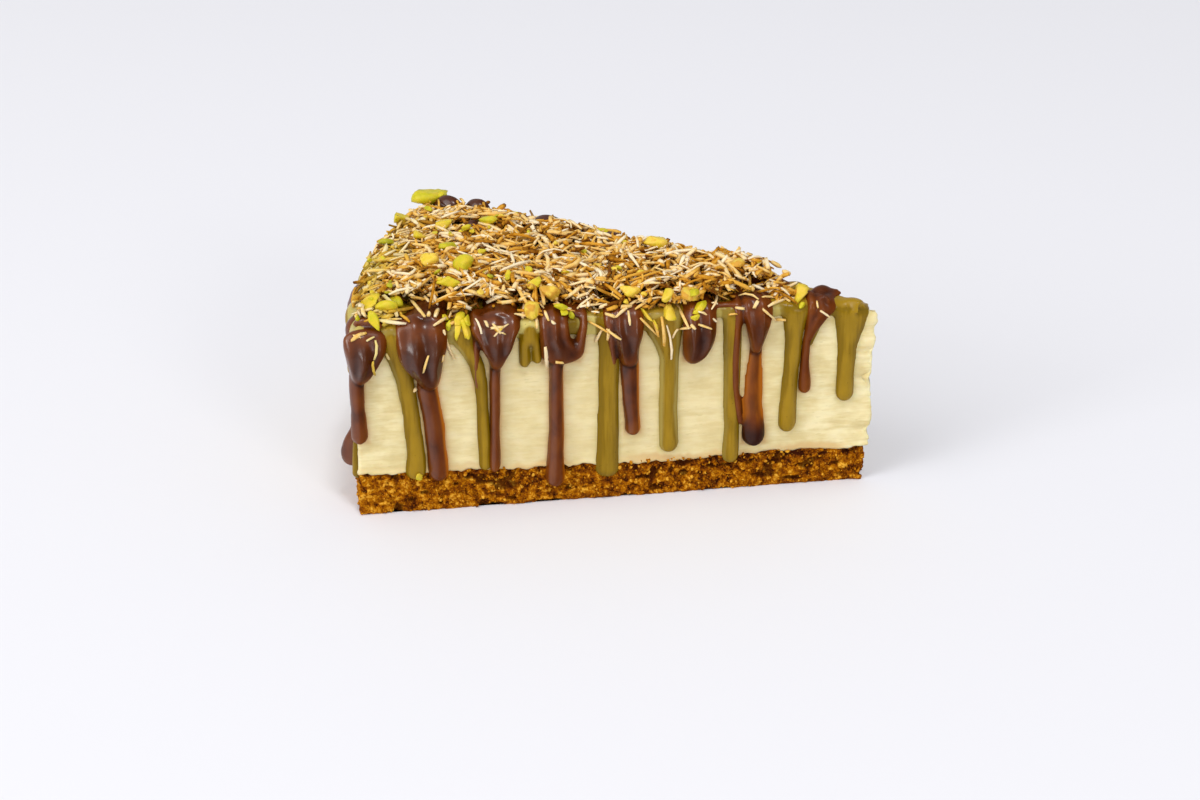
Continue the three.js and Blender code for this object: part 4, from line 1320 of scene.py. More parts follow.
def strand_sticks(wedge, heap, look):
    """Places the strands one after another, some in small families that lie alike, and raises
    the heap where each one lies. Lengths come from a gamma distribution, with over a quarter
    replaced by shorter bits, and one in eight leans. One that would lie off the slice or sink
    too low is left out, and so are most of those that lie too high or on bare spots. Gives for
    each its middle, half its length and rise as a vector, length, width, thickness, shade and
    depth (1 for the lowest)."""
    rng = np.random.default_rng(look.seed)
    rows = []
    count = look.strand_count
    family = 0
    centre, angle, toast = np.zeros(2), 0.0, 0.5
    while len(rows) < count:
        if family > 0:
            family -= 1
            centre = centre + rng.normal(size=2) * 1.1
            angle += rng.normal() * 0.16
        else:
            r = math.sqrt(mix(17.0**2, (wedge.radius - 0.6) ** 2, rng.random() ** 0.93))
            turn = rng.uniform(-1, 1) * wedge.half
            centre = -r * np.array([math.cos(turn), math.sin(turn)])
            angle = rng.random() * math.pi
            toast = rng.beta(1.0, 1.3)
            family = int(rng.random() < 0.3) * rng.integers(2, 6)
        if rng.random() > cover(wedge, *centre):
            continue
        done = len(rows) / count
        length = np.clip(rng.gamma(5.5, 0.84), 1.8, 9.0)
        if rng.random() < 0.28:
            length = rng.uniform(1.0, 2.4)
        way = np.array([math.cos(angle), math.sin(angle)])
        ends = centre + np.array([[-0.5], [0.5]]) * way * length
        if rng.random() > min(cover(wedge, *end) for end in ends) ** 0.5:
            continue
        cut, _ = wedge.proud(np.column_stack([ends, [0, 0]]))
        if cut.max() > rng.uniform(0.0, 1.2) or np.hypot(*ends.T).max() > wedge.radius - 0.5:
            continue
        wide = np.clip(rng.gamma(10, 0.066), 0.38, 1.0)
        high = wide * rng.uniform(0.55, 0.95)
        tilt = np.clip(rng.normal() * 0.3 * length, -1.4, 1.4) if rng.random() < 0.12 else None
        middle, rise = rest_line(heap, centre, way, length, tilt)
        level = wedge.coat - wedge.droop(np.hypot(*centre))
        most = level + most_above(wedge, centre)
        if middle < level - 3 or (middle > most and rng.random() < 0.95):
            continue
        if middle + 0.5 * abs(rise) > most + 1.5:
            continue
        middle += high * 0.3
        t = np.arange(-1, 1.01, 0.5 / length)
        for shift in (-0.3, 0.3):
            side = np.array([-way[1], way[0]]) * wide * shift
            line = centre + side + t[:, None] * way * length / 2
            heap.raise_to(line, middle + rise * t + high * 0.25)
        shade = np.clip(toast + rng.normal() * 0.13, 0.02, 0.98)
        rows.append((*centre, middle, *way * length / 2, rise, length, wide, high, shade, 1 - done))
    return np.array(rows)


# Strands stuck to the sauces: where each one's ends are seen on the front cut's plane (distance
# from the tip, height), and its shade, of which 0.7 is used
STUCK_STRANDS = [
    (127.1, 48.8, 124.5, 50.5, 0.55), (123.6, 48.5, 121.6, 49.5, 0.25),
    (125.9, 50.0, 123.4, 50.6, 0.45), (126.6, 50.2, 124.8, 49.4, 0.35),
    (121.5, 48.7, 122.0, 43.6, 0.12), (122.3, 43.4, 122.1, 39.9, 0.75),
    (119.0, 45.0, 118.4, 43.6, 0.2), (107.9, 51.1, 105.0, 53.0, 0.35),
    (106.0, 50.2, 103.6, 42.5, 0.3), (110.5, 39.3, 109.0, 43.7, 0.45),
    (105.9, 41.9, 105.5, 43.7, 0.3), (112.6, 57.5, 109.5, 52.7, 0.4),
    (114.4, 54.6, 112.8, 60.6, 0.45), (107.2, 53.6, 106.4, 55.6, 0.4),
    (112.9, 34.6, 112.5, 35.6, 0.3), (97.6, 52.5, 96.3, 48.4, 0.06),
    (95.3, 51.8, 94.6, 50.1, 0.3), (94.0, 49.8, 91.0, 49.9, 0.35),
    (93.2, 47.6, 89.8, 50.6, 0.3), (93.6, 50.9, 91.8, 48.3, 0.4),
    (92.6, 48.8, 90.6, 48.0, 0.3), (81.1, 53.4, 80.1, 50.7, 0.35),
    (83.1, 52.0, 83.1, 49.0, 0.35), (88.3, 53.1, 83.3, 52.2, 0.4),
    (80.6, 44.6, 80.1, 39.1, 0.14), (78.6, 40.0, 76.6, 39.7, 0.55),
    (79.4, 50.6, 78.5, 49.8, 0.3), (80.4, 56.0, 77.2, 52.9, 0.25),
    (70.6, 50.0, 65.3, 46.4, 0.6), (68.9, 44.4, 67.2, 47.6, 0.25),
    (71.0, 55.0, 68.5, 52.8, 0.1), (72.6, 56.2, 71.4, 53.6, 0.15),
    (64.1, 49.8, 58.5, 54.2, 0.3), (60.9, 52.2, 60.4, 48.2, 0.35),
    (66.5, 51.6, 64.1, 50.6, 0.45), (66.0, 47.8, 62.6, 44.6, 0.5),
    (65.5, 47.8, 65.7, 44.8, 0.4), (58.0, 49.9, 53.8, 45.3, 0.55),
    (52.9, 50.1, 52.2, 42.5, 0.6), (51.6, 47.8, 50.3, 38.5, 0.12),
    (50.1, 44.2, 48.9, 46.6, 0.2), (49.0, 53.3, 45.5, 46.3, 0.5),
    (48.4, 46.5, 45.5, 46.6, 0.4), (54.6, 49.0, 53.4, 44.8, 0.65),
    (43.9, 50.7, 39.4, 47.7, 0.3), (43.8, 47.3, 40.6, 45.9, 0.5),
    (41.4, 50.4, 40.4, 54.6, 0.3), (36.5, 49.4, 34.3, 49.5, 0.6),
    (34.8, 51.2, 32.4, 50.7, 0.3), (45.5, 47.4, 44.5, 46.0, 0.4),
    (28.8, 50.3, 25.7, 47.2, 0.35), (24.8, 47.4, 22.1, 47.1, 0.6),
    (30.2, 50.7, 29.2, 52.6, 0.3), (26.9, 50.9, 22.2, 52.6, 0.3),
    (25.6, 53.0, 23.2, 56.4, 0.2), (24.8, 51.6, 22.4, 54.4, 0.5),
    (14.7, 51.5, 14.3, 49.6, 0.3), (14.0, 49.0, 11.6, 47.2, 0.2),
    (15.9, 55.4, 15.6, 52.0, 0.6), (28.4, 53.4, 24.8, 53.0, 0.4),
]

# Nuts stuck to the front: place on the cut's plane as above, length, breadth, height, slope of
# its length from level, and hue
STUCK_NUTS = [
    (101.9, 49.6, 5.0, 1.9, 1.4, 1.45, 0.5), (99.8, 49.4, 4.6, 1.9, 1.4, -1.35, 0.55),
    (104.0, 50.8, 3.2, 1.4, 1.2, 1.5, 0.1), (76.2, 52.6, 2.0, 1.6, 1.3, 0.3, 0.3),
    (74.6, 52.0, 1.8, 1.5, 1.2, 0.8, 0.2), (51.1, 50.6, 4.2, 3.2, 1.6, -1.1, 0.68),
    (44.6, 49.4, 2.2, 1.6, 1.3, 0.4, 0.5), (43.4, 52.4, 4.6, 2.2, 1.6, 0.9, 0.42),
    (56.4, 50.4, 3.4, 1.3, 1.0, -0.9, 0.62), (53.9, 47.6, 3.6, 0.9, 0.8, -1.3, 0.6),
    (18.6, 50.6, 1.6, 1.2, 1.0, 0.4, 0.35), (19.2, 53.2, 1.3, 1.1, 0.9, 0.4, 0.3),
    (92.4, 49.4, 1.8, 1.1, 0.8, 0.2, 0.95), (121.6, 53.4, 4.4, 2.0, 1.6, -1.2, 0.5),
    (112.3, 10.8, 2.8, 1.5, 1.0, -1.2, 0.5),
]


def seen_on(pieces, eye, wedge, s, z):
    """Where the line from the camera through a point just in front of the front cut meets the
    pieces, and the surface's direction there; nothing where it passes over them."""
    foot, out, _ = wedge.face("front", s)
    target = foot + out * 2.5 + np.array([0, 0, z])
    way = unit(target - eye)
    start = target - way * 60
    best = None
    for piece in pieces:
        hit, place, normal, _ = piece.ray_cast(to_frame(start), way)
        if hit:
            found = from_frame(np.array(place))
            far = float(np.linalg.norm(found - start))
            if best is None or far < best[0]:
                best = (far, found, np.array(normal))
    return best and best[1:]


def stuck_sticks(wedge, pieces, eye, seed):
    """Rows like those of strand_sticks for the strands stuck to the sauces."""
    rng = np.random.default_rng(seed)
    rows = []
    for s0, z0, s1, z1, toast in STUCK_STRANDS:
        spots = ((s0, z0), (s1, z1), ((s0 + s1) / 2, (z0 + z1) / 2))
        found = [seen_on(pieces, eye, wedge, s, z) for s, z in spots]
        if None in found:
            continue
        wide = rng.uniform(0.5, 0.8)
        a, b = [place + normal * wide * 0.3 for place, normal in found[:2]]
        mid, out = found[2]
        middle = (a + b) / 2
        middle = middle + out * max(0, ((mid + out * wide * 0.3 - middle) * out).sum())
        half = (b - a) / 2
        length = 2 * np.linalg.norm(half)
        if length < 12:
            rows.append((*middle, *half, length, wide, wide * 0.7, 0.7 * toast, 0))
    return np.array(rows)


def strand_bodies(sticks, seed):
    """Strands as bent bars: rings of a worn rectangle along a line that bows sideways and up by
    a share of its length, narrower at the ends. Gives points, faces and each point's shade."""
    rng = np.random.default_rng(seed)
    count = len(sticks)
    middle, half = sticks[:, 0:3], sticks[:, 3:6]
    length, wide, high, toast, depth = sticks[:, 6:11].T
    t = np.array([-1, -0.4, 0.4, 1.0])
    bow = rng.normal(size=(count, 2)) * rng.choice([0.02, 0.05, 0.11], (count, 1)) * length[:, None]
    bow[:, 1] = np.abs(bow[:, 1]) * 0.5
    along = unit(half)
    side = unit(np.cross([0, 0, 1.0], along))
    up = np.cross(along, side)
    line = middle[:, None] + t[:, None] * half[:, None]
    line = line + (1 - t**2)[:, None] * (side * bow[:, :1] + up * bow[:, 1:])[:, None]
    corner = np.array([[-1, -1], [-1, 1], [1, 1], [1, -1.0]])
    roll = rng.uniform(-0.6, 0.6, (count, 1)) + rng.uniform(-0.4, 0.4, (count, 1)) * t
    cos, sin = np.cos(roll)[..., None], np.sin(roll)[..., None]
    taper = (1 - 0.3 * t**4) * (1 + rng.uniform(-0.2, 0.2, (count, 4)))
    a = corner[:, 0] * wide[:, None, None] / 2 * taper[..., None]
    b = corner[:, 1] * high[:, None, None] / 2 * taper[..., None]
    across, rise = a * cos - b * sin, a * sin + b * cos
    rings = line[:, :, None] + across[..., None] * side[:, None, None]
    rings = rings + rise[..., None] * up[:, None, None]
    slant = rng.normal(size=(count, 2, 4, 1)) * 0.2 * wide[:, None, None, None]
    rings[:, 0] += slant[:, 0] * along[:, None]
    rings[:, -1] += slant[:, 1] * along[:, None]
    shapes = rings.reshape(count, -1, 3)
    r = np.arange(3)[:, None] * 4
    c, d = np.arange(4), (np.arange(4) + 1) % 4
    quads = np.stack([r + c, r + d, r + 4 + d, r + 4 + c], axis=-1).reshape(-1, 4)
    ends = np.array([[3, 2, 1, 0], [12, 13, 14, 15]])
    points, groups, number = many(shapes, [np.concatenate([quads, ends])])
    tip = np.tile(np.repeat((np.abs(t) > 0.9) * 1.0, 4), count)
    # Painted shade for the lower strands: a browner tone, and the deep value that darkens them
    low = smooth((depth - 0.5) / 0.45) * 0.3
    shade = (toast + low)[number] + tip * rng.normal(0.04, 0.12, count)[number]
    return points, groups, np.clip(shade, 0.02, 0.98), low[number] / 0.3


# Pale glaze on the pistachio skirt: distance from the tip, half width, strength, and the share
# of it that also covers runs
GLAZE = [
    (84.6, 3.8, 0.95, 0.0), (69.4, 3.0, 0.9, 0.0), (117.7, 1.8, 0.65, 0.3), (37.2, 2.0, 0.5, 0.3),
    (101.8, 2.2, 0.45, 1.0), (51.6, 3.6, 0.35, 1.0), (24.0, 1.5, 0.6, 0.3),
]

# Nuts that the eye finds first: x, y, length, breadth, height, turn and hue (0 deep green, 1 tan)
NUTS = [
    (-117.6, 34.2, 8.6, 5.0, 5.2, 0.5, 0.33), (-122.6, 17.0, 6.6, 3.6, 2.8, 1.2, 0.55),
    (-122.8, 3.7, 3.0, 2.4, 2.0, 0.3, 0.05), (-108.7, -10.6, 4.6, 4.0, 3.0, 0.2, 0.78),
    (-99.8, -12.0, 5.0, 3.6, 2.8, 0.9, 0.38), (-100.6, -22.0, 6.6, 4.6, 3.0, 2.8, 0.45),
    (-118.0, -31.1, 5.4, 4.0, 2.6, 0.1, 0.55), (-113.1, -27.6, 4.6, 3.2, 2.4, 1.9, 0.3),
    (-113.8, -32.6, 4.0, 3.0, 2.4, 0.4, 0.48), (-75.9, -19.9, 5.2, 4.4, 3.0, 0.2, 0.88),
    (-79.7, -25.2, 4.8, 4.0, 2.8, 2.2, 0.84), (-80.7, -17.9, 4.4, 3.2, 2.4, 0.5, 0.6),
    (-109.9, 14.2, 4.4, 3.0, 2.4, 1.0, 0.6), (-99.7, 17.8, 4.4, 3.2, 2.6, 2.6, 0.36),
    (-105.9, -1.8, 3.6, 2.8, 2.2, 0.0, 0.25), (-114.7, 5.8, 5.0, 3.0, 2.2, 0.7, 0.62),
    (-55.4, 9.6, 5.6, 4.0, 2.6, 0.3, 0.7), (-34.2, 1.7, 4.8, 4.0, 2.6, 0.9, 0.84),
    (-43.4, -12.6, 5.4, 5.0, 2.8, 0.5, 0.9), (-42.4, -13.9, 3.4, 2.0, 2.2, 1.2, 0.25),
    (-48.6, -15.4, 4.6, 2.8, 2.2, 1.7, 0.72), (-18.0, -2.6, 5.0, 3.8, 3.4, 1.4, 0.66),
    (-57.4, -15.0, 4.2, 3.4, 2.4, 0.4, 0.78), (-95.8, 28.4, 4.6, 3.0, 2.6, 0.2, 0.4),
    (-73.0, -22.9, 3.0, 2.2, 1.8, 0.4, 0.15), (-96.6, -31.0, 4.6, 2.0, 1.8, 1.4, 0.45),
    (-94.6, -30.2, 4.2, 1.9, 1.8, 1.7, 0.5), (-71.4, 21.0, 4.0, 2.6, 2.4, 0.4, 0.5),
]


def nut_bodies(wedge, heap, look, pieces, eye):
    """Chopped pistachios: unit chunks scaled to each nut's size and turned. The large ones and
    small bits between them, greener towards the rim, are let down on the heap, deeper into it
    along the back edge except at the rim, and the stuck ones are set on the front with their
    length in the surface."""
    rng = np.random.default_rng(look.seed + 1)
    rows = [(x, y, a / 2, b / 2, h / 2, turn, hue) for x, y, a, b, h, turn, hue in NUTS]
    while len(rows) < look.nut_count:
        r = math.sqrt(mix(24.0**2, (wedge.radius - 1.5) ** 2, rng.random() ** 0.8))
        turn = rng.uniform(-1, 1) * wedge.half * 0.95
        x, y = -r * math.cos(turn), r * math.sin(turn)
        size = rng.uniform(0.4, 1.0)
        hue = np.clip(rng.normal(mix(0.72, 0.42, r / wedge.radius), 0.2), 0.05, 0.95)
        if rng.random() < cover(wedge, x, y) + 0.15:
            rows.append((x, y, size * 1.3, size, size * 0.7, rng.uniform(0, 3.1), hue))
    rows = np.array(rows)
    found = [seen_on(pieces, eye, wedge, row[0], row[1]) for row in STUCK_NUTS]
    stuck = np.array([row for row, spot in zip(STUCK_NUTS, found) if spot])
    found = [spot for spot in found if spot]
    count = len(rows) + len(stuck)
    shapes, faces = lump(12, 18, look.seed + 2, count, 30.0, 0.4)
    size = np.concatenate([rows[:, 2:5], stuck[:, 2:5] / 2]) * 1.15
    shapes = shapes * size[:, None]
    lean = rng.normal(size=(2, len(rows))) * 0.3
    shapes[: len(rows)] = turned(shapes[: len(rows)], rows[:, 5], lean[0], lean[1])
    place = np.zeros((count, 3))
    for n, row in enumerate(rows):
        flat = shapes[n, :, :2]
        level = np.percentile(heap.under(row[:2] + flat * 0.7), 70)
        _, back = wedge.inside(row[0], row[1])
        level -= 2.0 * (1 - smooth((back - 1) / 6)) * (row[0] > -112)
        place[n] = (row[0], row[1], max(level, 46) + row[4] * 0.4)
        heap.raise_to(row[:2] + flat * 0.85, place[n, 2] + row[4] * 0.3)
    for n, row in enumerate(stuck, len(rows)):
        at, out = found[n - len(rows)]
        level = unit(np.cross([0, 0, 1.0], out))
        steep = np.cross(out, level)
        along = level * math.cos(row[5]) + steep * math.sin(row[5])
        shapes[n] = shapes[n] @ np.stack([along, np.cross(out, along), out])
        place[n] = at + out * row[4] * 0.2
    points, faces, number = many(shapes + place[:, None], faces)
    hue = np.concatenate([rows[:, 6], stuck[:, 6]])[number]
    return points, faces, hue, (rng.random(count) ** 3 * 0.5)[number]


# ------------------------------------------------------------------ sizes and looks


def length_prop(name, description, default):
    return bpy.props.FloatProperty(
        name=name, description=description, default=default, min=0.0, unit="LENGTH", precision=4
    )


def colour_prop(name, description, default):
    return bpy.props.FloatVectorProperty(
        name=name, description=description, default=default, size=3, min=0, max=1, subtype="COLOR"
    )


class SliceSizes(bpy.types.PropertyGroup):
    """Sizes of the slice's plain form."""

    cake_radius: length_prop("Cake radius", "From the tip to the rim", 0.127)
    wedge_angle: bpy.props.FloatProperty(
        name="Wedge angle",
        description="Angle between the two cut faces",
        default=math.pi / 5,
        subtype="ANGLE",
    )
    base_at_rim: length_prop("Base at rim", "Height of the crumb base at the rim", 0.0112)
    base_at_tip: length_prop("Base at tip", "Height of the crumb base at the tip", 0.0095)
    cream_top: length_prop("Filling top", "Height of the filling", 0.049)
    coat_top: length_prop("Coat top", "Height of the pistachio coat", 0.0507)
    tip_droop: length_prop("Tip droop", "How far the top sinks at the tip", 0.0022)


class CakeLook(bpy.types.PropertyGroup):
    """Colours of the base and of the filling."""

    # Darkest grains, and also the painted shade in the pits between them
    crumb_dark_and_pit_shade: colour_prop("Crumb pits", "Pits between the grains", srgb(58, 20, 1))
    crumb_brown: colour_prop("Crumb brown", "Darker grains", srgb(132, 68, 2))
    crumb_gold: colour_prop("Crumb gold", "Golden grains", srgb(186, 114, 4))
    crumb_light: colour_prop("Crumb light", "Lightest grains", srgb(236, 174, 56))
    cream: colour_prop("Filling", "Filling", srgb(233, 217, 164))
    cream_light: colour_prop("Filling light", "Palest filling", srgb(243, 230, 183))
    cream_shade: colour_prop("Filling shade", "Streaks in the filling", srgb(222, 203, 146))
    cream_dull: colour_prop("Filling middle", "Duller middle", srgb(222, 203, 150))
    cream_fleck: colour_prop("Filling flecks", "Small dull flecks", srgb(186, 168, 104))
    # These two tint the filling beside the runs: painted glow and shade, in part a real stain
    cream_olive_glow_and_shade: colour_prop("Beside pistachio", "Filling beside the sauce", srgb(196, 172, 84))
    cream_amber_glow_and_shade: colour_prop("Beside chocolate", "Filling beside chocolate", srgb(196, 138, 74))
    cream_stain: colour_prop("Filling stain", "Lower edge, stained by crumb", srgb(214, 180, 122))


class SauceLook(bpy.types.PropertyGroup):
    """Colours and fineness of the two sauces."""

    pistachio: colour_prop("Pistachio", "Pistachio sauce", srgb(131, 101, 6))
    # Greener edge colour, and also the painted shade on the runs' edges
    pistachio_edge_and_shade: colour_prop("Pistachio edge", "Thin edges", srgb(120, 94, 8))
    # Painted light on the thick middle of the runs
    pistachio_painted_light: colour_prop("Pistachio light", "Thickest sauce", srgb(158, 124, 24))
    # Dark specks, and also the painted shade in the sauce's creases
    pistachio_dark_and_crease_shade: colour_prop("Pistachio dark", "Dark specks", srgb(74, 56, 8))
    pistachio_glaze: colour_prop("Pistachio glaze", "Thin glaze", srgb(204, 188, 108))
    chocolate: colour_prop("Chocolate", "Chocolate", srgb(100, 45, 4))
    # Thick chocolate, and also the painted shade in the creases
    chocolate_dark_and_crease_shade: colour_prop("Chocolate dark", "Thick chocolate", srgb(46, 15, 1))
    chocolate_light: colour_prop("Chocolate light", "Paler streaks", srgb(126, 66, 14))
    # Thin film, and also the painted orange glow on sides towards the tip
    chocolate_film_and_glow: colour_prop("Chocolate film", "Thin film", srgb(174, 96, 12))
    fineness: length_prop("Fineness", "Grid on which the runs are joined", 0.00042)


class ToppingLook(bpy.types.PropertyGroup):
    """Numbers and colours of the strands and the nuts."""

    seed: bpy.props.IntProperty(name="Seed", description="Start of the scatter", default=17)
    strand_count: bpy.props.IntProperty(name="Strands", description="How many", default=5600)
    nut_count: bpy.props.IntProperty(name="Nuts", description="How many pieces", default=95)
    strand_pale: colour_prop("Strand pale", "Least toasted", srgb(251, 232, 194))
    strand_cream: colour_prop("Strand cream", "Lightly toasted", srgb(242, 204, 128))
    strand_gold: colour_prop("Strand gold", "Golden", srgb(228, 172, 66))
    strand_orange: colour_prop("Strand orange", "Well toasted", srgb(198, 134, 28))
    # Darkest toast, and also the painted shade over the lowest strands
    strand_dark_and_deep_shade: colour_prop("Strand dark", "Darkest", srgb(104, 54, 2))
    strand_green: colour_prop("Strand green", "Tinted by pistachio", srgb(214, 194, 74))
    nut_deep: colour_prop("Nut deep", "Outer green", srgb(168, 164, 16))
    nut_green: colour_prop("Nut green", "Fresh green", srgb(204, 192, 28))
    nut_yellow: colour_prop("Nut yellow", "Yellow green", srgb(222, 192, 44))
    nut_pale: colour_prop("Nut pale", "Palest flesh", srgb(236, 202, 76))
    nut_tan: colour_prop("Nut tan", "Toasted nut", srgb(212, 156, 48))
    nut_skin: colour_prop("Nut skin", "Shreds of skin", srgb(96, 60, 34))


class StageLook(bpy.types.PropertyGroup):
    """Camera and light."""

    distance: length_prop("Camera distance", "From the slice", 0.60208)
    elevation: bpy.props.FloatProperty(
        name="Elevation", description="Above level", default=math.radians(27.0785), subtype="ANGLE"
    )
    azimuth: bpy.props.FloatProperty(
        name="Azimuth", description="Round the slice", default=math.radians(9.5163), subtype="ANGLE"
    )
    lens: bpy.props.FloatProperty(
        name="Lens", description="Focal length in millimetres", default=71.248
    )
    floor: colour_prop("Floor", "Floor", (0.83, 0.825, 0.86))
    key_power: bpy.props.FloatProperty(
        name="Key light", description="Power of the light from the left", default=21.2, unit="POWER"
    )
    top_power: bpy.props.FloatProperty(
        name="Top light", description="Power of the light overhead", default=18.2, unit="POWER"
    )
    fill_power: bpy.props.FloatProperty(
        name="Fill light", description="Light from the right", default=9.0, unit="POWER"
    )
    low_power: bpy.props.FloatProperty(
        name="Low light", description="Low light from the left", default=10.0, unit="POWER"
    )
    sky: bpy.props.FloatProperty(
        name="Room light", description="Strength of light from all round", default=0.55
    )


# ------------------------------------------------------------------ operators


class CAKE_OT_base(bpy.types.Operator):
    """Make the biscuit crumb base"""

    bl_idname = "cake_slice.base"
    bl_label = "Crumb Base"

    def execute(self, context):
        wedge = Wedge(context.scene.slice_sizes)
        finish = biscuit_finish(context.scene.cake_look)
        points, faces, grain, depth = crumb_body(wedge)
        body = put_mesh("crumb_base_body", points, faces, grain=grain, depth=depth)
        dress(body, finish, "biscuit_crumb", "crumb_base")
        points, faces, grain, depth = crumb_bits(wedge)
        bits = put_mesh("crumb_base_grains", points, faces, grain=grain, depth=depth)
        dress(bits, finish, "biscuit_crumb")
        return {"FINISHED"}


class CAKE_OT_filling(bpy.types.Operator):
    """Make the cream-cheese filling"""

    bl_idname = "cake_slice.filling"
    bl_label = "Filling"

    def execute(self, context):
        wedge = Wedge(context.scene.slice_sizes)
        points, faces, stain = cream_body(wedge)
        # Painted glow and shade beside the runs, where light passes through the sauces' edges, in
        # part a real stain
        olive = 0.35 * np.exp(-gap_to(wedge, points, PISTACHIO_FRONT) / 0.55)
        heads = [head for head, _ in CHOCOLATE_HEADS]
        amber = 0.5 * np.exp(-gap_to(wedge, points, CHOCOLATE_FRONT + heads) / 0.5)
        dull = 0.5 * smooth(1.3 - np.abs(np.hypot(points[:, 0], points[:, 1]) - 68) / 52)
        marks = {"stain": stain, "olive": olive, "amber": amber, "dull": dull}
        body = put_mesh("filling_body", points, faces, **marks)
        dress(body, cream_finish(context.scene.cake_look), "cream_cheese", "cheesecake_filling")
        return {"FINISHED"}


class CAKE_OT_pistachio(bpy.types.Operator):
    """Make the pistachio coat and its runs"""

    bl_idname = "cake_slice.pistachio"
    bl_label = "Pistachio Sauce"

    def execute(self, context):
        wedge = Wedge(context.scene.slice_sizes)
        look = context.scene.sauce_look
        piece = melted("pistachio_runs", pistachio_bodies(wedge), look.fineness / MM, 0.5, 0.08)
        points, proud, _ = sauce_values(wedge, piece.data)
        side, over = wedge.proud(points)
        s = np.hypot(points[:, 0], points[:, 1])
        bare = smooth(gap_to(wedge, points, PISTACHIO_FRONT) / 0.4) * (points[:, 1] < 0)
        glaze = sum(
            power * smooth((half - np.abs(s - at)) / 1.6 + 0.5) * mix(bare, 1, over_runs)
            for at, half, power, over_runs in GLAZE
        )
        glaze = glaze * smooth((1.7 - over) / 1.2) * smooth((1.1 - side) / 0.3)
        edge = smooth((s - wedge.radius + 3.6) / 1.6) * smooth((points[:, 2] - 45.0) / 1.6)
        glaze = np.maximum(glaze, 0.75 * edge * smooth((1.3 - side) / 0.5))
        add_values(piece.data, proud=proud, glaze=glaze, hollow=hollow(piece.data))
        dress(piece, pistachio_finish(look), "pistachio_sauce", "pistachio_sauce")
        return {"FINISHED"}


class CAKE_OT_chocolate(bpy.types.Operator):
    """Make the chocolate drizzle and its runs"""

    bl_idname = "cake_slice.chocolate"
    bl_label = "Chocolate Sauce"

    def execute(self, context):
        wedge = Wedge(context.scene.slice_sizes)
        look = context.scene.sauce_look
        piece = melted("chocolate_runs", chocolate_bodies(wedge), look.fineness / MM, 0.5, 0.03)
        points, proud, tipward = sauce_values(wedge, piece.data)
        low = smooth((40 - points[:, 2]) / 4)
        # Painted glow: thin sides that face the tip, and the tip side of the runs in
        # CHOCOLATE_GLOW, turn orange
        film = 0.3 * low * smooth((1.1 - proud) / 0.9) * smooth(tipward / 0.6)
        for number, strength in CHOCOLATE_GLOW:
            aside = beside(wedge, points, CHOCOLATE_FRONT[number])
            film += strength * low * smooth((aside - 0.4) / 0.55) * (aside < 2)
        # The real thin film of FILM_RUN: orange at its edges, brown in the middle, dark in the bulb
        thin = beside(wedge, points, CHOCOLATE_FRONT[FILM_RUN])
        edge = mix(0.35, 0.8, smooth((np.abs(thin) - 0.25) / 0.65))
        z = points[:, 2]
        film += edge * (np.abs(thin) < 1.1) * smooth((z - 17) / 5) * smooth((38.5 - z) / 2)
        bulb = (np.abs(thin) < 1.4) * smooth((20 - z) / 4)
        film = np.clip(film, 0, 1)
        thick = np.maximum(bulb, 0.65 * smooth((proud - 2.2) / 2.0))
        crease = hollow(piece.data)
        _, normals = mesh_points(piece.data)
        sheen = mix(0.12, 1, smooth((normals @ GLOSS_WAY - 0.34) / 0.44))
        s = np.hypot(points[:, 0], points[:, 1])
        sheen = sheen * (1 - 0.7 * smooth(crease / 0.3)) * mix(0.35, 1, smooth((s - 20) / 45))
        sheen = sheen * (1 - 0.55 * smooth((-normals[:, 0] - 0.72) / 0.2))
        add_values(piece.data, film=film, thick=thick, hollow=crease, sheen=sheen)
        dress(piece, chocolate_finish(look), "chocolate_sauce", "chocolate_sauce")
        return {"FINISHED"}


class CAKE_OT_topping(bpy.types.Operator):
    """Make the heap of strands and nuts"""

    bl_idname = "cake_slice.topping"
    bl_label = "Strands and Nuts"

    def execute(self, context):
        wedge = Wedge(context.scene.slice_sizes)
        look = context.scene.topping_look
        names = ("pistachio_runs", "chocolate_runs", "filling_body")
        pieces = [bpy.data.objects[name] for name in names]
        eye, _ = camera_place(context.scene.stage_look)
        heap = Heap(wedge, [piece.data for piece in pieces[:2]])
        sticks = strand_sticks(wedge, heap, look)
        sticks = np.concatenate([sticks, stuck_sticks(wedge, pieces, eye, look.seed)])
        points, faces, toast, deep = strand_bodies(sticks, look.seed)
        rim = smooth((np.hypot(points[:, 0], points[:, 1]) - 108) / 14)
        green = 0.6 * rim * smooth(noise(points, (6, 6, 60), look.seed) + 0.4)
        strands = put_mesh(
            "kunafa_strands", points, faces, soft=False, toast=toast, deep=deep, green=green
        )
        dress(strands, strand_finish(look), "toasted_kunafa", "kunafa_topping")
        points, faces, hue, skin = nut_bodies(wedge, heap, look, pieces, eye)
        nuts = put_mesh("pistachio_pieces", points, faces, hue=hue, skin=skin)
        dress(nuts, nut_finish(look), "toasted_kunafa")
        return {"FINISHED"}


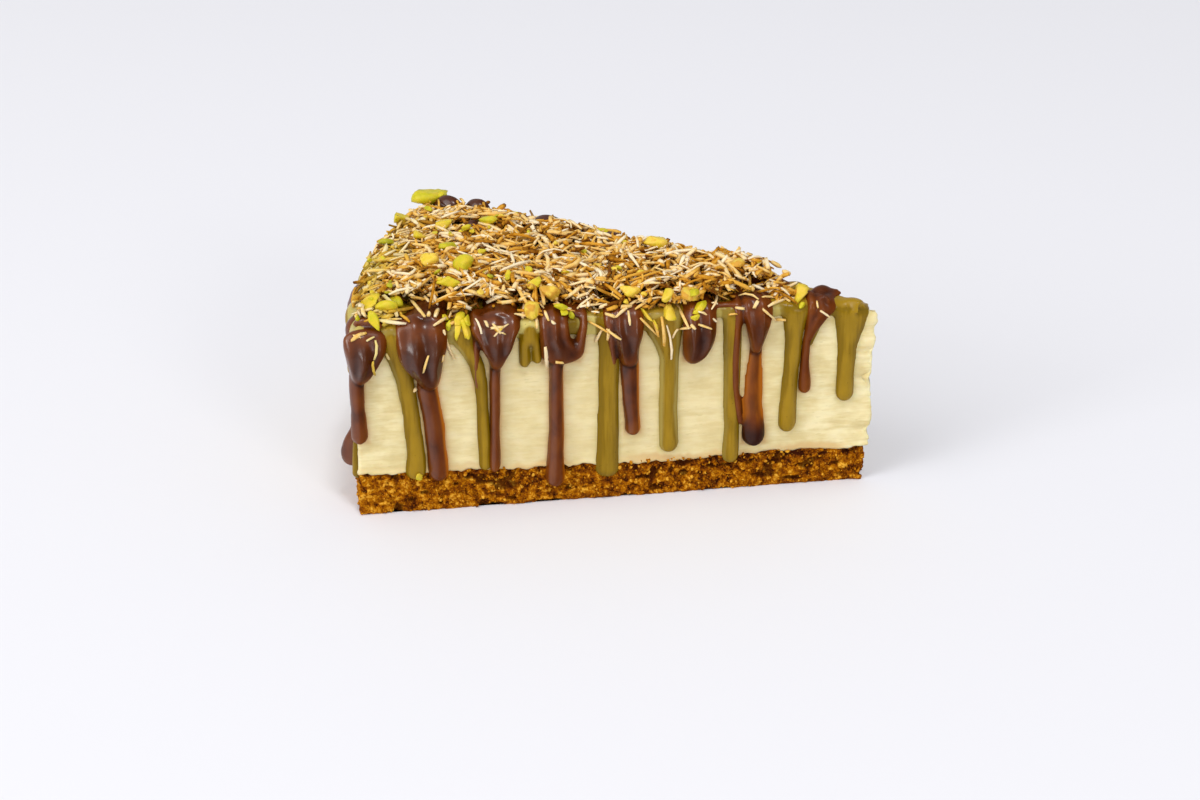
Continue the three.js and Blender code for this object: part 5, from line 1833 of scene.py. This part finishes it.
class CAKE_OT_stage(bpy.types.Operator):
    """Make the floor, the lights and the camera"""

    bl_idname = "cake_slice.stage"
    bl_label = "Stage"

    def execute(self, context):
        look = context.scene.stage_look
        self.add_floor(look)
        self.add_lights(context, look)
        self.add_camera(context, look)
        return {"FINISHED"}

    def add_floor(self, look):
        f = Finish("floor_white", roughness=0.65, specular_ior_level=0.2)
        f.set("Base Color", look.floor[:])
        corner = np.array([[-3.0, -3, 0], [3, -3, 0], [3, 3, 0], [-3, 3, 0]]) * 1000
        floor = put_mesh("floor", corner - TIP_IN_FRAME, [np.array([[0, 1, 2, 3]])], soft=False)
        floor.data.materials.append(f.material)

    def add_lights(self, context, look):
        world = bpy.data.worlds.new("room")
        world.use_nodes = True
        shade = world.node_tree.nodes["Background"]
        shade.inputs["Color"].default_value = (0.97, 0.98, 1.0, 1)
        shade.inputs["Strength"].default_value = look.sky
        context.scene.world = world
        for name, place, size, power in (
            ("key", (-1.35, -1.2, 1.95), 1.6, look.key_power),
            ("top", (0.45, -0.9, 2.5), 0.4, look.top_power),
            ("fill", (1.5, -1.7, 1.1), 0.6, look.fill_power),
            ("low", (-1.45, -1.35, 0.85), 0.62, look.low_power),
        ):
            light = bpy.data.lights.new(name, "AREA")
            light.size = size
            light.energy = power
            lamp = bpy.data.objects.new(name, light)
            aim = np.array(place)
            lamp.location = place
            lamp.rotation_euler = facing(aim)
            context.scene.collection.objects.link(lamp)

    def add_camera(self, context, look):
        eye, back = camera_place(look)
        data = bpy.data.cameras.new("camera")
        data.lens = look.lens
        data.sensor_width = 36
        camera = bpy.data.objects.new("camera", data)
        camera.location = to_frame(eye)
        camera.rotation_euler = facing(back)
        context.scene.collection.objects.link(camera)
        context.scene.camera = camera
        context.scene.view_settings.view_transform = "Standard"


def camera_place(look):
    """The camera's place in slice millimetres and the direction behind it."""
    pitch, yaw = look.elevation, look.azimuth
    back = np.array(
        [math.sin(yaw) * math.cos(pitch), -math.cos(yaw) * math.cos(pitch), math.sin(pitch)]
    )
    right = np.array([math.cos(yaw), math.sin(yaw), 0])
    target = np.array([-63.5, 0, 20.0])
    eye = target + look.distance / MM * back
    eye = eye - CAMERA_LEFT * right - CAMERA_DOWN * np.cross(back, right)
    return eye, back


def facing(back):
    """Turn that points a camera or light against the direction back: first down by its slope,
    then round by its bearing."""
    level = math.hypot(back[0], back[1])
    return (math.atan2(level, back[2]), 0, math.atan2(back[0], -back[1]))


class CAKE_PT_panel(bpy.types.Panel):
    """The slice's pieces and looks"""

    bl_idname = "CAKE_PT_panel"
    bl_label = "Cake Slice"
    bl_space_type = "VIEW_3D"
    bl_region_type = "UI"
    bl_category = "Cake Slice"

    def draw(self, context):
        for step in STEPS:
            self.layout.operator(step.bl_idname)
        for key, group in GROUPS.items():
            box = self.layout.box()
            for name in group.__annotations__:
                box.prop(getattr(context.scene, key), name)


STEPS = (
    CAKE_OT_stage,
    CAKE_OT_base,
    CAKE_OT_filling,
    CAKE_OT_pistachio,
    CAKE_OT_chocolate,
    CAKE_OT_topping,
)
GROUPS = {
    "slice_sizes": SliceSizes,
    "cake_look": CakeLook,
    "sauce_look": SauceLook,
    "topping_look": ToppingLook,
    "stage_look": StageLook,
}


def register():
    for item in (*GROUPS.values(), *STEPS, CAKE_PT_panel):
        bpy.utils.register_class(item)
    for key, group in GROUPS.items():
        setattr(bpy.types.Scene, key, bpy.props.PointerProperty(type=group))


def unregister():
    for key in GROUPS:
        delattr(bpy.types.Scene, key)
    for item in (CAKE_PT_panel, *reversed(STEPS), *reversed(GROUPS.values())):
        bpy.utils.unregister_class(item)


def main():
    register()
    for step in STEPS:
        group, name = step.bl_idname.split(".")
        getattr(getattr(bpy.ops, group), name)()


if __name__ == "__main__":
    main()
